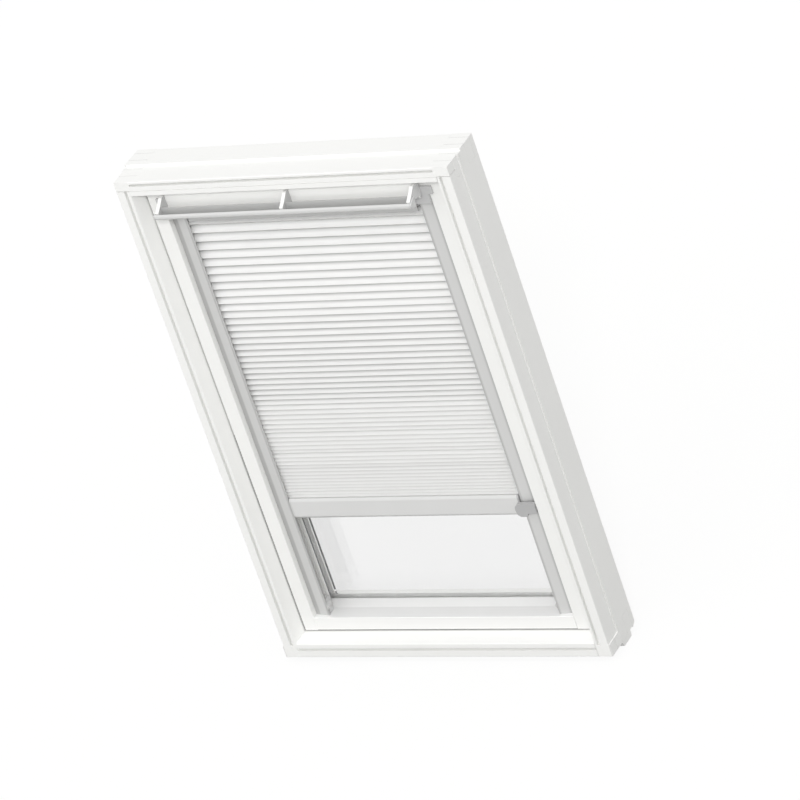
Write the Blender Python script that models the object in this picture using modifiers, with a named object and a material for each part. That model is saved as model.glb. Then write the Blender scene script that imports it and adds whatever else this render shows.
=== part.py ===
"""Centre-pivot roof window with a motorised pleated blind in side channels.

The window stands upright: +X to the right seen from the room, +Y out to the sky, +Z up the roof slope.
The origin is the middle of the foot of the whole part. Blender works in metres. Sections are written in
millimetres as (inset, depth): inset runs inwards from the frame's outer edge, depth runs outwards from
the plane of the frame's room side. A third number in a section point is the radius of that corner.
"""
import math

import bmesh
import bpy
from mathutils import Matrix, Vector

MM = 0.001
GAP = 0.3                      # play between pieces that touch, in millimetres

# Driving dimensions, in millimetres. An inset is measured inwards from the frame's outer edge, at the top
# too, and a height upwards from the frame's lower edge.
WIDTH = 780.0                  # frame, outside
HEIGHT = 1178.0
FRAME_DEPTH = 122.0
LIP = 33.0                     # frame's flat front border
FRAME_WALL = 45.5              # frame members' thickness behind the splayed reveal
REVEAL = 30.0                  # depth of the reveal, where the sash starts
GROOVE_DEPTH = 9.0             # lining groove in the front border
SIDE_GROOVE = (20.5, 7.0)      # its (inset, width)
TOP_GROOVE = (10.5, 5.5)
BOTTOM_GROOVE = (16.0, 6.5)
SIDE_STEP = (2.5, 47.0)        # (inset, depth) of the step in the outer side faces
TOP_STEP = (5.0, 62.0)
TOP_LIP = [(39, 0, 2.5), (40.5, 14), (44, 26.5)]   # the top member's deeper inner edge
TOP_BEAD = (26.0, 1.4, 1.5)    # (inset, width, depth) of the fine groove in its front
CORNER_JOINT = (25.8, 27.0)    # insets of the upper corners' joint: top member above, stile below
CORNER_REACH = (37.2, 50.0, 30.0)             # insets before and behind the groove, and depth
FOOT_BLOCK = (29.0, 28.0)      # (inset, height) of the stiles' full feet, without groove or step
RECESS = 0.3                   # feet and upper corners lie this far behind the faces round them
BACK_ROUND = 12.0              # rounded back edge of the frame's foot
FOOT_SETBACK = 2.0             # the bottom member's underside behind the tongue
FOOT_TONGUE = 12.0             # tongue below the bottom member
TONGUE_DEPTH = (54.0, 92.0)
FRAME_FINGERS = (26.5, 53.0, 79.5, 106.0)      # depths between the comb joint's fingers
SEAL_THICKNESS = 1.5
UPPER_SEAL = (108.0, 116.0)    # front and back
LOWER_SEAL = (34.0, 42.0)
SEAL_STOP = 50.0               # the seals end this far from the pivots' height

SASH_EDGE = 49.0               # inset of the sash's outer edge
SASH_BACK = 118.0
SASH_SIGHT = 80.0              # inset of the sash's inner faces
BEAD_EDGE = 85.0               # inset of the bead that the glass rests on
BEAD_DEPTH = (68.0, 92.0, 95.6)                # where its slope starts and ends, and its back
SASH_FINGERS = (58.0, 88.0)
VENT_SLOT = (45.0, 250.0)      # from the middle of the window
VENT_SLOT_INSET = (56.0, 64.0)
FILTER_DEPTH = (70.0, 95.0)

GLASS_EDGE = 74.0
INNER_PANE = (96.0, 100.0)
OUTER_PANE = (114.0, 118.0)
SPACER = (86.0, 8.0)           # (inset, width)
GASKET = (85.3, 8.7)           # (inset, width)
GASKET_FRONT = 92.5
CAP_INSET = (49.5, 90.0)       # glazing caps' outer and inner edge
TOP_CAP_EDGE = 66.0            # the top cap stays clear of the vent slots
CAP_LIP = (1.2, 3.0)           # thickness at the caps' inner edge, and width of their slope

PIVOT_DEPTH = (REVEAL + SASH_BACK) / 2
PIVOT_HEIGHT = HEIGHT / 2
HOUSING_INSET = 33.8
HOUSING_REACH = (20.0, 30.0)   # half of its depth and height
PIN_RADIUS = 7.5
PIN_INSET = (36.0, 66.0)
BORE_PLAY = 0.6                # the pin's play in its housing

LOCK_DEPTH = (48.0, 72.0)      # striker and case, front and back
STRIKER_HALF_WIDTH = 32.0
STRIKER_INSET = 43.8
STRIKER_HOLE = (8.0, 8.0)      # half of its width and depth
CASE_HALF_WIDTH = 30.0
CASE_FOOT = 77.0               # inset of the case's lower end
BOLT_MIDDLE = 60.0             # depth
BOLT_HALF_WIDTH = 7.0
BOLT_INSET = (46.3, 67.0)      # tip and lower end
BOLT_TRAVEL = 6.0

FLAP_AXIS = (18.5, 78.5)       # (depth, inset)
FLAP_HALF_WIDTH = 296.0
FLAP_SECTION = [(46, 14, 1.5), (46, 29.4, 0.8), (49.5, 29.4, 0.8), (51, 22.5, 0.8), (82.5, 22.5, 4.0),
                (82.5, 14, 4.0)]
HINGE_AT = 180.0               # the flap's hinges, from the middle of the window
LUG_HALF_WIDTH = 6.0
LUG_NOTCH = (0.9, 69.0, 15.6)  # side play, upper edge and front of the flap's notch for a lug
LUG_SECTION = [(64, 29.7), (64, 24, 1.0), (72, 24), (75.9, 15.9, 2.6), (81.1, 15.9, 2.6), (81.1, 29.7)]
FLAP_PIN = (1.6, 20.0)         # radius and half length

BAR_NOSE = 31.0                # how far the control bar stands in front of the frame
BRACKET_AT = 292.0             # end brackets, from the middle of the window
BRACKET_HALF_WIDTH = 4.0
BAR_CAP = 3.0                  # the control bar's end caps
BAR_SHELL = [(70, -BAR_NOSE, 2.5), (75.5, -BAR_NOSE, 3.5), (82, -24, 3.0), (82, -11, 2.5), (61.5, -9, 0.6)]
BAR_GUTTER = [(61.5, -11), (80, -12.4), (80, -24, 1.5), (74.2, -28.6, 2.0), (71.5, -28.6), (69.5, -26)]
BAR_LIP = (68, -26.5, 0.6)
BRACKET_SECTION = [(46.5, 3, 2.0), (46.5, 13.7), (77, 13.7, 1.0), (72, -5, 4.0), (61.2, -8.6), (61.2, -11.4),
                   (77.5, -13.5), (77.5, -24), (67.7, -24), (67.7, -29, 1.2), (57, -11.5, 12.0)]

BLIND_DEPTH = (36.0, 64.0)     # bottom bar and head casing, front and back
WALL = 1.6                     # aluminium profiles
CASING_INSET = (80.5, 122.0)   # head casing's upper and lower edge
CASING_LIP = 124.0             # its thickened front edge
CASING_HALF_WIDTH = 267.4
CLAMP_SECTION = [(84, 44), (84, 60), (98, 60), (98, 56), (102.2, 54), (102.2, 50), (98, 48), (98, 44)]
CLAMP_HALF_WIDTH = 264.0
HOOK_INSET = 61.0              # where the head brackets' hooks start, on the sash's face
HOOK_DEPTH = (24.0, 29.7)
HEAD_BRACKET = (80.5, 122.3, 101.5)            # outer edge, inner edge, lower end
HOOK_EAR = (70.0, 79.0)        # outer and lower edge of the hook's ear on the sash's stile

CHANNEL_EDGE = 116.0           # inset of the side channels' inner lips
CHANNEL_OUTER = 80.3
CHANNEL_TOP = 101.8
CHANNEL_FOOT = 80.4            # height
CHANNEL_FACE = (44.2, 38.0)    # depth of the slanted front, outside and at the lip
CHANNEL_BACK = 66.0
BACK_FLANGE = 104.0
PLUG_INSET = (82.6, 113.8)
PLUG_TOP = 116.0
NIB_TIP = (121.0, 101.0)       # (inset, height) of the pointed stop on the channels' feet
NIB_RISE = (9.0, 6.0)          # half heights of the nib's root and of its nose
CORD_INSET = 92.0
CORD_RADIUS = 0.6

BAR_BOTTOM = 325.0             # bottom bar in the photographed position
BAR_HEIGHT = 50.0
BAR_WALL = 1.8
BAR_HALF_WIDTH = 268.0
END_PLATE = 3.4
COVER_FRONT = 27.0
COVER_INSET = (81.6, 129.0)    # the drive housing's straight and its rounded end
COVER_HEIGHTS = (329.0, 336.0, 360.0)          # its lower edge, that edge over the channel, upper edge
NECK_HEIGHTS = (337.0, 356.0)
RUNNER_INSET = (84.5, 117.7)
RUNNER_DEPTH = (46.4, 63.9)
SHAFT_DEPTH = 54.0
SHAFT_RADIUS = 2.5
SHAFT_INSET = 88.0
SHAFT_HOLE = 3.4
MOTOR = (60.0, 240.0)          # from the middle of the window
MOTOR_RADIUS = 7.4
DRUM_RADIUS = 6.0
DRUM_LENGTH = 12.0
DRUM_GROOVES = 4
DRUM_GROOVE_DEPTH = 0.5
DRUM_BORE = 2.9

CLOTH_TOP = 1075.0             # height
CLOTH_HALF_WIDTH = 284.0
CLOTH_MIDDLE = 52.0            # depth of the middle of the folds
CLOTH_THICKNESS = 0.9
LEAF = 19.0                    # length of one leaf between two folds
LEAVES = 105
PITCH_RATIO = 2.95             # top fold's height over the lowest one's, as the cloth's weight stretches it

# Places that follow
HALF_WIDTH = WIDTH / 2
FRONT_Y = -(FRAME_DEPTH - BAR_NOSE) / 2
SILL_Z = FOOT_TONGUE
BAR_MIDDLE = BAR_BOTTOM + BAR_HEIGHT / 2
CORD_DEPTH = SHAFT_DEPTH + DRUM_RADIUS + CORD_RADIUS + GAP
BEYOND = 2 * HEIGHT            # how far cutters reach past everything
SIDES = (("left", -1), ("right", 1))
ENDS = (("bottom", -1), ("top", 1))

FINISHES = {
    "white_lacquer": ((0.93, 0.93, 0.92), 0.35, 0.0),
    "white_plastic": ((0.95, 0.95, 0.94), 0.40, 0.0),
    "aluminium": ((0.78, 0.79, 0.80), 0.35, 0.9),
    "bar_aluminium": ((0.74, 0.75, 0.76), 0.28, 0.9),
    "channel_grey": ((0.72, 0.73, 0.74), 0.40, 0.6),
    "grey_plastic": ((0.55, 0.56, 0.57), 0.50, 0.0),
    "seal_rubber": ((0.05, 0.05, 0.05), 0.80, 0.0),
    "steel": ((0.60, 0.60, 0.60), 0.30, 1.0),
    "glass": ((0.90, 0.95, 0.94), 0.05, 0.0),
    "filter_foam": ((0.30, 0.31, 0.32), 0.95, 0.0),
    "cord": ((0.90, 0.90, 0.88), 0.70, 0.0),
    "cloth": ((0.96, 0.96, 0.95), 0.85, 0.0),
}


def clear_scene():
    for obj in list(bpy.data.objects):
        bpy.data.objects.remove(obj, do_unlink=True)


def new_collection(name):
    collection = bpy.data.collections.new(name)
    bpy.context.scene.collection.children.link(collection)
    return collection


def finish_material(node, finish):
    """The node's own Principled material, from the table of finishes."""
    colour, roughness, metallic = FINISHES[finish]
    material = bpy.data.materials.new(node + "_finish")
    material.use_nodes = True
    shader = material.node_tree.nodes["Principled BSDF"]
    shader.inputs["Base Color"].default_value = (*colour, 1.0)
    shader.inputs["Roughness"].default_value = roughness
    shader.inputs["Metallic"].default_value = metallic
    if finish == "glass":
        shader.inputs["Transmission Weight"].default_value = 1.0
    return material


class Workshop:
    """Holds the two collections and the empties that carry the moving bodies."""
    parts = None
    cutters = None
    carriers = {}


def add_object(name, mesh, finish, body):
    """Puts a finished mesh in the model, or among the cutters where it has no finish."""
    obj = bpy.data.objects.new(name, mesh)
    if finish is None:
        Workshop.cutters.objects.link(obj)
        obj.hide_render = True
        obj.display_type = "WIRE"
        return obj
    Workshop.parts.objects.link(obj)
    mesh.materials.append(finish_material(name, finish))
    carrier = Workshop.carriers.get(body)
    if carrier is not None:
        obj.parent = carrier
        obj.matrix_parent_inverse = carrier.matrix_world.inverted()
    return obj


def add_carrier(body, location, parent=None):
    """An empty on a moving body's joint axis."""
    empty = bpy.data.objects.new(body + "_axis", None)
    empty.empty_display_size = 0.03
    Workshop.parts.objects.link(empty)
    empty.location = location
    bpy.context.view_layer.update()
    if parent:
        carrier = Workshop.carriers[parent]
        empty.parent = carrier
        empty.matrix_parent_inverse = carrier.matrix_world.inverted()
        bpy.context.view_layer.update()
    Workshop.carriers[body] = empty


def corner_arc(before, corner, after, radius, steps=4):
    """Points of the arc that rounds one corner of an outline."""
    corner = Vector(corner)
    arm_in = (Vector(before) - corner).normalized()
    arm_out = (Vector(after) - corner).normalized()
    half = arm_in.angle(arm_out) / 2
    reach = radius / math.tan(half)
    centre = corner + (arm_in + arm_out).normalized() * (radius / math.sin(half))
    start = corner + arm_in * reach - centre
    turn = start.angle_signed(corner + arm_out * reach - centre)
    points = []
    for step in range(steps + 1):
        spoke = start.copy()
        spoke.rotate(Matrix.Rotation(-turn * step / steps, 2))
        points.append(tuple(centre + spoke))
    return points


def rounded(section):
    """An outline with each (x, y, radius) corner turned into an arc."""
    outline = []
    for index, point in enumerate(section):
        if len(point) == 2:
            outline.append(tuple(point))
            continue
        before = section[index - 1][:2]
        after = section[(index + 1) % len(section)][:2]
        outline += corner_arc(before, point[:2], after, point[2])
    return outline


def side_place(side, inset, depth):
    """World X and Y, in millimetres, of a point in a stile's section; side is -1 left, 1 right."""
    return side * (HALF_WIDTH - inset), FRONT_Y + depth


def rail_place(end, inset, depth):
    """World Y and Z, in millimetres, of a point in a rail's section; end is -1 bottom, 1 top."""
    height = HEIGHT - inset if end > 0 else inset
    return FRONT_Y + depth, SILL_Z + height


def span(side, outer, inner):
    """The world X range, in millimetres, between two insets on one side."""
    return sorted((side * (HALF_WIDTH - outer), side * (HALF_WIDTH - inner)))


def extrude(name, outlines, axis, start, end, finish=None, body="frame"):
    """Extrudes flat outlines, the first one solid and the others holes, along a world axis.

    The outlines are in world millimetres: (Y, Z) along X, (X, Z) along Y and (X, Y) along Z.
    """
    turns = {
        "X": Matrix(((0, 0, 1), (1, 0, 0), (0, 1, 0))),
        "Y": Matrix(((1, 0, 0), (0, 0, -1), (0, 1, 0))),
        "Z": Matrix.Identity(3),
    }
    curve = bpy.data.curves.new(name, "CURVE")
    curve.dimensions = "2D"
    curve.fill_mode = "BOTH"
    curve.extrude = abs(end - start) / 2 * MM
    for outline in outlines:
        spline = curve.splines.new("POLY")
        spline.points.add(len(outline) - 1)
        for point, (x, y) in zip(spline.points, outline):
            point.co = (x * MM, y * MM, 0.0, 1.0)
        spline.use_cyclic_u = True
    guide = bpy.data.objects.new(name + "_outline", curve)
    Workshop.parts.objects.link(guide)
    middle = [0.0, 0.0, 0.0]
    middle["XYZ".index(axis)] = (start + end) / 2 * MM
    place = Matrix.Translation(middle) @ turns[axis].to_4x4()
    depsgraph = bpy.context.evaluated_depsgraph_get()
    mesh = bpy.data.meshes.new_from_object(guide.evaluated_get(depsgraph))
    bpy.data.objects.remove(guide, do_unlink=True)
    mesh.name = name
    mesh.transform(place)
    weld(mesh)
    return add_object(name, mesh, finish, body)


def weld(mesh):
    """Closes the loose caps and turns every face outwards."""
    form = bmesh.new()
    form.from_mesh(mesh)
    bmesh.ops.remove_doubles(form, verts=form.verts, dist=1e-6)
    bmesh.ops.recalc_face_normals(form, faces=form.faces)
    form.to_mesh(mesh)
    form.free()


def stile(name, section, side, bottom, top, finish=None, body="frame"):
    """An upright member from a section; heights are above the frame's lower edge."""
    outline = [side_place(side, *point) for point in rounded(section)]
    return extrude(name, [outline], "Z", SILL_Z + bottom, SILL_Z + top, finish, body)


def rail(name, section, end, left, right, finish=None, body="frame"):
    """A level member from a section, between two places along X."""
    outline = [rail_place(end, *point) for point in rounded(section)]
    return extrude(name, [outline], "X", left, right, finish, body)


def plate(name, sections, front, back, finish=None, body="frame"):
    """A flat piece seen from the room, outlined in (X, height above the lower edge)."""
    outlines = [[(x, SILL_Z + z) for x, z in rounded(section)] for section in sections]
    return extrude(name, outlines, "Y", FRONT_Y + front, FRONT_Y + back, finish, body)


def block(name, left, right, front, back, bottom, top, finish=None, body="frame"):
    """A box between places along X, depths and heights above the frame's lower edge."""
    low = Vector((left, FRONT_Y + front, SILL_Z + bottom)) * MM
    high = Vector((right, FRONT_Y + back, SILL_Z + top)) * MM
    form = bmesh.new()
    bmesh.ops.create_cube(form, size=1.0)
    bmesh.ops.scale(form, vec=high - low, verts=form.verts)
    bmesh.ops.translate(form, vec=(low + high) / 2, verts=form.verts)
    mesh = bpy.data.meshes.new(name)
    form.to_mesh(mesh)
    form.free()
    return add_object(name, mesh, finish, body)


def spindle(name, radius, left, right, depth, height, finish=None, body="frame", sides=32):
    """A cylinder lying along X."""
    middle = ((left + right) / 2, depth, height)
    return round_bar(name, radius, "X", middle, right - left, finish, body, sides)


def round_bar(name, radius, axis, middle, length, finish=None, body="frame", sides=32):
    """A cylinder along X or Z around a place given as (X, depth, height)."""
    x, depth, height = middle
    form = bmesh.new()
    bmesh.ops.create_cone(form, cap_ends=True, segments=sides, radius1=radius * MM, radius2=radius * MM,
                          depth=length * MM)
    if axis == "X":
        bmesh.ops.rotate(form, matrix=Matrix.Rotation(math.pi / 2, 3, "Y"), verts=form.verts)
    bmesh.ops.translate(form, vec=Vector((x, FRONT_Y + depth, SILL_Z + height)) * MM, verts=form.verts)
    mesh = bpy.data.meshes.new(name)
    form.to_mesh(mesh)
    form.free()
    if sides > 8:
        mesh.shade_smooth()
        mesh.set_sharp_from_angle(angle=math.radians(40))
    return add_object(name, mesh, finish, body)


def cut(obj, *cutters, operation="DIFFERENCE"):
    for cutter in cutters:
        step = obj.modifiers.new(cutter.name, "BOOLEAN")
        step.operation = operation
        step.object = cutter
        step.solver = "EXACT"


def ease(obj, width, segments=2, angle=40):
    """Rounds a piece's sharp edges by a real width."""
    bevel = obj.modifiers.new("eased_edges", "BEVEL")
    bevel.width = width * MM
    bevel.segments = segments
    bevel.limit_method = "ANGLE"
    bevel.angle_limit = math.radians(angle)


def finger_layers(edges, owners, owner, play):
    """The depth ranges of one owner's fingers in a comb joint, each drawn in by some play."""
    ranges = []
    for front, back, who in zip(edges, edges[1:], owners):
        if who == owner:
            ranges.append((front + play, back - play))
    return ranges


def comb_cutter(name, cope, where, edges, owners, keep, play):
    """One member's bulk less the finger layers that are kept: what its neighbour loses at the corner.

    The bulk is drawn GAP larger than the member, and the kept layers are drawn in by play.
    """
    kind, sign = where
    grown = [(inset + (GAP if inset > 0 else 0), depth) for inset, depth in cope]
    if kind == "stile":
        cutter = stile(name, grown, sign, -GAP, BEYOND)
    else:
        cutter = rail(name, grown, sign, -WIDTH, WIDTH)
    for number, (front, back) in enumerate(finger_layers(edges, owners, keep, play)):
        layer = block("%s_layer_%d" % (name, number), -BEYOND, BEYOND, front, back, -BEYOND, 2 * BEYOND)
        cut(cutter, layer)
    return cutter


def comb_ring(prefix, sections, cope, edges, owners, outer, finish, body, feet=()):
    """Two stiles and two rails whose corners lock with comb fingers in layers of depth.

    sections holds the left, right, bottom and top section, cope the members' bulk behind their inner
    faces, edges the depths between finger layers and owners whose finger fills each layer. feet holds
    a block to join to each stile before the fingers are cut.
    """
    low, high = outer, HEIGHT - outer
    left, right = -HALF_WIDTH + outer, HALF_WIDTH - outer
    members = {
        "left": stile(prefix + "_left", sections["left"], -1, low, high, finish, body),
        "right": stile(prefix + "_right", sections["right"], 1, low, high, finish, body),
        "bottom": rail(prefix + "_bottom", sections["bottom"], -1, left, right, finish, body),
        "top": rail(prefix + "_top", sections["top"], 1, left, right, finish, body),
    }
    rail_losses = [comb_cutter("%s_%s_cope" % (prefix, side), cope, ("stile", sign),
                               edges, owners, "rail", GAP) for side, sign in SIDES]
    stile_losses = [comb_cutter("%s_%s_cope" % (prefix, end), cope, ("rail", sign),
                                edges, owners, "stile", 0) for end, sign in ENDS]
    for end, _ in ENDS:
        cut(members[end], *rail_losses)
    for (side, _), foot in zip(SIDES, feet):
        cut(members[side], foot, operation="UNION")
    for side, _ in SIDES:
        cut(members[side], *stile_losses)
    return members


def lip_section(corner, groove, inner_edge=((LIP, 0, 2.5),)):
    """The front border's points: outer corner, lining groove, rounded inner edge, splayed reveal."""
    start, width = groove
    return [
        (*corner, 1.5), (start, 0), (start, GROOVE_DEPTH), (start + width, GROOVE_DEPTH), (start + width, 0),
        *inner_edge, (FRAME_WALL, REVEAL), (FRAME_WALL, FRAME_DEPTH),
    ]


def side_section():
    """Section of a side member, whose outer face steps in towards the front."""
    inset, depth = SIDE_STEP
    return [*lip_section((inset, 0), SIDE_GROOVE), (0, FRAME_DEPTH, 3.0), (0, depth), (inset, depth)]


def top_section():
    """The top member steps in likewise, and has a fine groove and a deeper lip."""
    inset, depth = TOP_STEP
    start, width, bead = TOP_BEAD
    edge = [(start, 0), (start, bead), (start + width, bead), (start + width, 0), *TOP_LIP]
    return [*lip_section((inset, 0), TOP_GROOVE, edge), (0, FRAME_DEPTH, 3.0), (0, depth), (inset, depth)]


def bottom_section():
    """The bottom member adds a tongue below, and a rounded back edge."""
    front, back = TONGUE_DEPTH
    return [
        *lip_section((0, 0), BOTTOM_GROOVE), (FOOT_SETBACK, FRAME_DEPTH, BACK_ROUND),
        (FOOT_SETBACK, back + 2), (-FOOT_TONGUE, back, 3.0), (-FOOT_TONGUE, front, 3.0), (0, front - 4),
    ]


def foot_round_section():
    """What the stiles' feet lose to follow the bottom member's rounded back edge."""
    start = FRAME_DEPTH - BACK_ROUND
    corner = (FOOT_SETBACK, FRAME_DEPTH)
    arc = corner_arc((FOOT_SETBACK, start), corner, (FRAME_WALL, FRAME_DEPTH), BACK_ROUND)
    outside = -FRAME_WALL
    return [(outside, start), *arc, (arc[-1][0], 2 * FRAME_DEPTH), (outside, 2 * FRAME_DEPTH)]


def make_frame():
    """The four lacquered frame members, comb-jointed, with the pockets for hinge and lock."""
    edges = (-REVEAL, *FRAME_FINGERS, 2 * FRAME_DEPTH)
    owners = ("stile", "rail", "stile", "rail", "stile")
    outside, ahead, behind = -FRAME_WALL, -REVEAL, 2 * FRAME_DEPTH
    cope = [(outside, ahead), (LIP, ahead), (LIP, 0), (FRAME_WALL, REVEAL), (FRAME_WALL, behind),
            (outside, behind)]
    sections = {
        "left": side_section(), "right": side_section(),
        "bottom": bottom_section(), "top": top_section(),
    }
    side_inset, side_depth = SIDE_STEP
    foot_inset, foot_height = FOOT_BLOCK
    feet = [block("foot_block_" + side, *span(sign, RECESS, foot_inset), RECESS, side_depth + 1,
                  RECESS, foot_height) for side, sign in SIDES]
    members = comb_ring("frame", sections, cope, edges, owners, 0, "white_lacquer", "frame", feet)

    edge = HALF_WIDTH - side_inset
    steps = [block("front_step_left", -BEYOND, -edge, -BEYOND, side_depth, foot_height, BEYOND),
             block("front_step_right", edge, BEYOND, -BEYOND, side_depth, foot_height, BEYOND)]
    for end, _ in ENDS:
        cut(members[end], *steps)

    top_inset, top_depth = TOP_STEP
    top_step = block("front_step_top", -BEYOND, BEYOND, -BEYOND, top_depth, HEIGHT - top_inset, BEYOND)
    foot_round = rail("foot_round", foot_round_section(), -1, -BEYOND, BEYOND)
    half_depth, half_height = HOUSING_REACH
    for side, sign in SIDES:
        left, right = span(sign, HOUSING_INSET - GAP, SASH_EDGE)
        pocket = block("pivot_pocket_" + side, left, right,
                       PIVOT_DEPTH - half_depth - GAP, PIVOT_DEPTH + half_depth + GAP,
                       PIVOT_HEIGHT - half_height - GAP, PIVOT_HEIGHT + half_height + GAP)
        cut(members[side], top_step, foot_round, pocket)
    join_upper_corners(members)
    cut_lock_pockets(members["top"])


def join_upper_corners(members):
    """In the foremost layer the top member runs over the stiles, which end in a joint below it."""
    above, below = CORNER_JOINT
    near, far, depth = CORNER_REACH
    start, floor = SIDE_STEP[0] + RECESS, GROOVE_DEPTH + RECESS
    section = [(start, RECESS), (near, RECESS), (near, floor), (far, floor), (far, depth), (start, depth)]
    over = block("stile_joint", -BEYOND, BEYOND, -BEYOND, depth, HEIGHT - below, BEYOND)
    for side, sign in SIDES:
        cut(members[side], over)
        corner = stile("upper_corner_" + side, section, sign, HEIGHT - above, HEIGHT - TOP_STEP[0] - RECESS)
        cut(members["top"], corner, operation="UNION")


def cut_lock_pockets(member):
    """Room in the frame's top member for the striker plate and for the thrown bolt."""
    front, back = LOCK_DEPTH
    half = STRIKER_HALF_WIDTH + GAP
    inside = HEIGHT - SASH_EDGE
    half_hole, half_hole_depth = (size + GAP for size in STRIKER_HOLE)
    cut(member,
        block("striker_pocket", -half, half, front - GAP, back + GAP, inside, HEIGHT - STRIKER_INSET + GAP),
        block("bolt_pocket", -half_hole, half_hole, BOLT_MIDDLE - half_hole_depth,
              BOLT_MIDDLE + half_hole_depth, inside, HEIGHT - BOLT_INSET[0] + 10))


def make_frame_seals():
    """Two U-shaped gaskets: the sash closes outwards above the pivots and inwards below them."""
    outer = FRAME_WALL + GAP
    inner = outer + SEAL_THICKNESS
    x_out, x_in = HALF_WIDTH - outer, HALF_WIDTH - inner
    seals = (("frame_seal_upper", 1, UPPER_SEAL), ("frame_seal_lower", -1, LOWER_SEAL))
    for name, end, (front, back) in seals:
        stop = PIVOT_HEIGHT + end * SEAL_STOP
        bridge_in = PIVOT_HEIGHT + end * (PIVOT_HEIGHT - inner)
        bridge_out = PIVOT_HEIGHT + end * (PIVOT_HEIGHT - outer)
        outline = [(-x_out, stop), (-x_in, stop), (-x_in, bridge_in), (x_in, bridge_in),
                   (x_in, stop), (x_out, stop), (x_out, bridge_out), (-x_out, bridge_out)]
        plate(name, [outline], front, back, "seal_rubber")


def make_pivots():
    """A bearing housing in each frame stile, and a pin from each sash stile."""
    half_depth, half_height = HOUSING_REACH
    pin_start, pin_end = PIN_INSET
    for side, sign in SIDES:
        left, right = span(sign, HOUSING_INSET, FRAME_WALL)
        housing = block("pivot_housing_" + side, left, right,
                        PIVOT_DEPTH - half_depth, PIVOT_DEPTH + half_depth,
                        PIVOT_HEIGHT - half_height, PIVOT_HEIGHT + half_height, "steel")
        bore = span(sign, pin_start - 0.5, SASH_EDGE)
        cut(housing, spindle("pivot_bore_" + side, PIN_RADIUS + BORE_PLAY, *bore, PIVOT_DEPTH, PIVOT_HEIGHT))
        pin = span(sign, pin_start, pin_end)
        spindle("pivot_pin_" + side, PIN_RADIUS, *pin, PIVOT_DEPTH, PIVOT_HEIGHT, "steel", "sash")


def make_lock():
    """Striker on the frame, case in the sash, and the bolt that the control bar draws."""
    front, back = LOCK_DEPTH
    half_hole, half_hole_depth = STRIKER_HOLE
    striker = block("lock_striker", -STRIKER_HALF_WIDTH, STRIKER_HALF_WIDTH, front, back,
                    HEIGHT - FRAME_WALL, HEIGHT - STRIKER_INSET, "steel")
    cut(striker, block("striker_hole", -half_hole, half_hole, BOLT_MIDDLE - half_hole_depth,
                       BOLT_MIDDLE + half_hole_depth, HEIGHT - SASH_EDGE, HEIGHT))

    tip, foot = BOLT_INSET
    slot = BOLT_HALF_WIDTH + GAP
    case = block("lock_case", -CASE_HALF_WIDTH, CASE_HALF_WIDTH, front, back,
                 HEIGHT - CASE_FOOT, HEIGHT - SASH_EDGE - GAP, "steel", "sash")
    cut(case, block("bolt_slot", -slot, slot, BOLT_MIDDLE - slot, BOLT_MIDDLE + slot,
                    HEIGHT - foot - BOLT_TRAVEL - 1.5, HEIGHT))
    bolt = block("lock_bolt", -BOLT_HALF_WIDTH, BOLT_HALF_WIDTH, BOLT_MIDDLE - BOLT_HALF_WIDTH,
                 BOLT_MIDDLE + BOLT_HALF_WIDTH, HEIGHT - foot, HEIGHT - tip, "steel", "lock_bolt")
    ease(bolt, 1.2)


def make_sash():
    """Sash members with a glazing rebate, comb-jointed like the frame."""
    slope_start, slope_end, bead_back = BEAD_DEPTH
    rebate = GLASS_EDGE - 1
    inner_edge = [(SASH_SIGHT, slope_start), (BEAD_EDGE, slope_end), (BEAD_EDGE, bead_back),
                  (rebate, bead_back)]
    section = [(SASH_EDGE, REVEAL, 1.5), (SASH_SIGHT, REVEAL, 1.5), *inner_edge,
               (rebate, SASH_BACK), (SASH_EDGE, SASH_BACK)]
    outside, behind = SASH_EDGE / 2, 2 * SASH_BACK
    cope = [(outside, 0), (SASH_SIGHT, 0), *inner_edge, (rebate, behind), (outside, behind)]
    sections = dict.fromkeys(("left", "right", "bottom", "top"), section)
    members = comb_ring("sash", sections, cope, (0, *SASH_FINGERS, behind), ("stile", "rail", "stile"),
                        SASH_EDGE, "white_lacquer", "sash")
    for side, sign in SIDES:
        hole = span(sign, SASH_EDGE - 5, PIN_INSET[1] + GAP)
        radius = PIN_RADIUS + GAP + 0.1
        cut(members[side], spindle("pin_hole_" + side, radius, *hole, PIVOT_DEPTH, PIVOT_HEIGHT))
        make_vent(members["top"], side, sign)
    front, back = LOCK_DEPTH
    half = CASE_HALF_WIDTH + GAP
    cut(members["top"], block("lock_pocket", -half, half, front - GAP, back + GAP,
                              HEIGHT - CASE_FOOT - GAP, HEIGHT))


def make_vent(member, side, sign):
    """One ventilation slot through the sash's top member, with its filter."""
    near, far = VENT_SLOT
    upper, lower = VENT_SLOT_INSET
    left, right = sorted((sign * near, sign * far))
    cut(member, block("vent_slot_" + side, left, right, 0, 2 * SASH_BACK, HEIGHT - lower, HEIGHT - upper))
    block("air_filter_" + side, left + GAP, right - GAP, *FILTER_DEPTH,
          HEIGHT - lower + GAP, HEIGHT - upper - GAP, "filter_foam", "sash")


def ring(name, inset, width, front, back, finish, body):
    """A rectangular ring, seen from the room."""
    outlines = []
    for edge in (inset, inset + width):
        x = HALF_WIDTH - edge
        outlines.append([(-x, edge), (x, edge), (x, HEIGHT - edge), (-x, HEIGHT - edge)])
    return plate(name, outlines, front, back, finish, body)


def cap_section(outer):
    """A glazing cap's section from its outer edge to the thin lip on the glass."""
    front = SASH_BACK + GAP
    inner = CAP_INSET[1]
    thickness, slope = CAP_LIP
    return [(outer, front), (inner, front), (inner, front + thickness), (inner - slope, FRAME_DEPTH),
            (outer, FRAME_DEPTH)]


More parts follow.
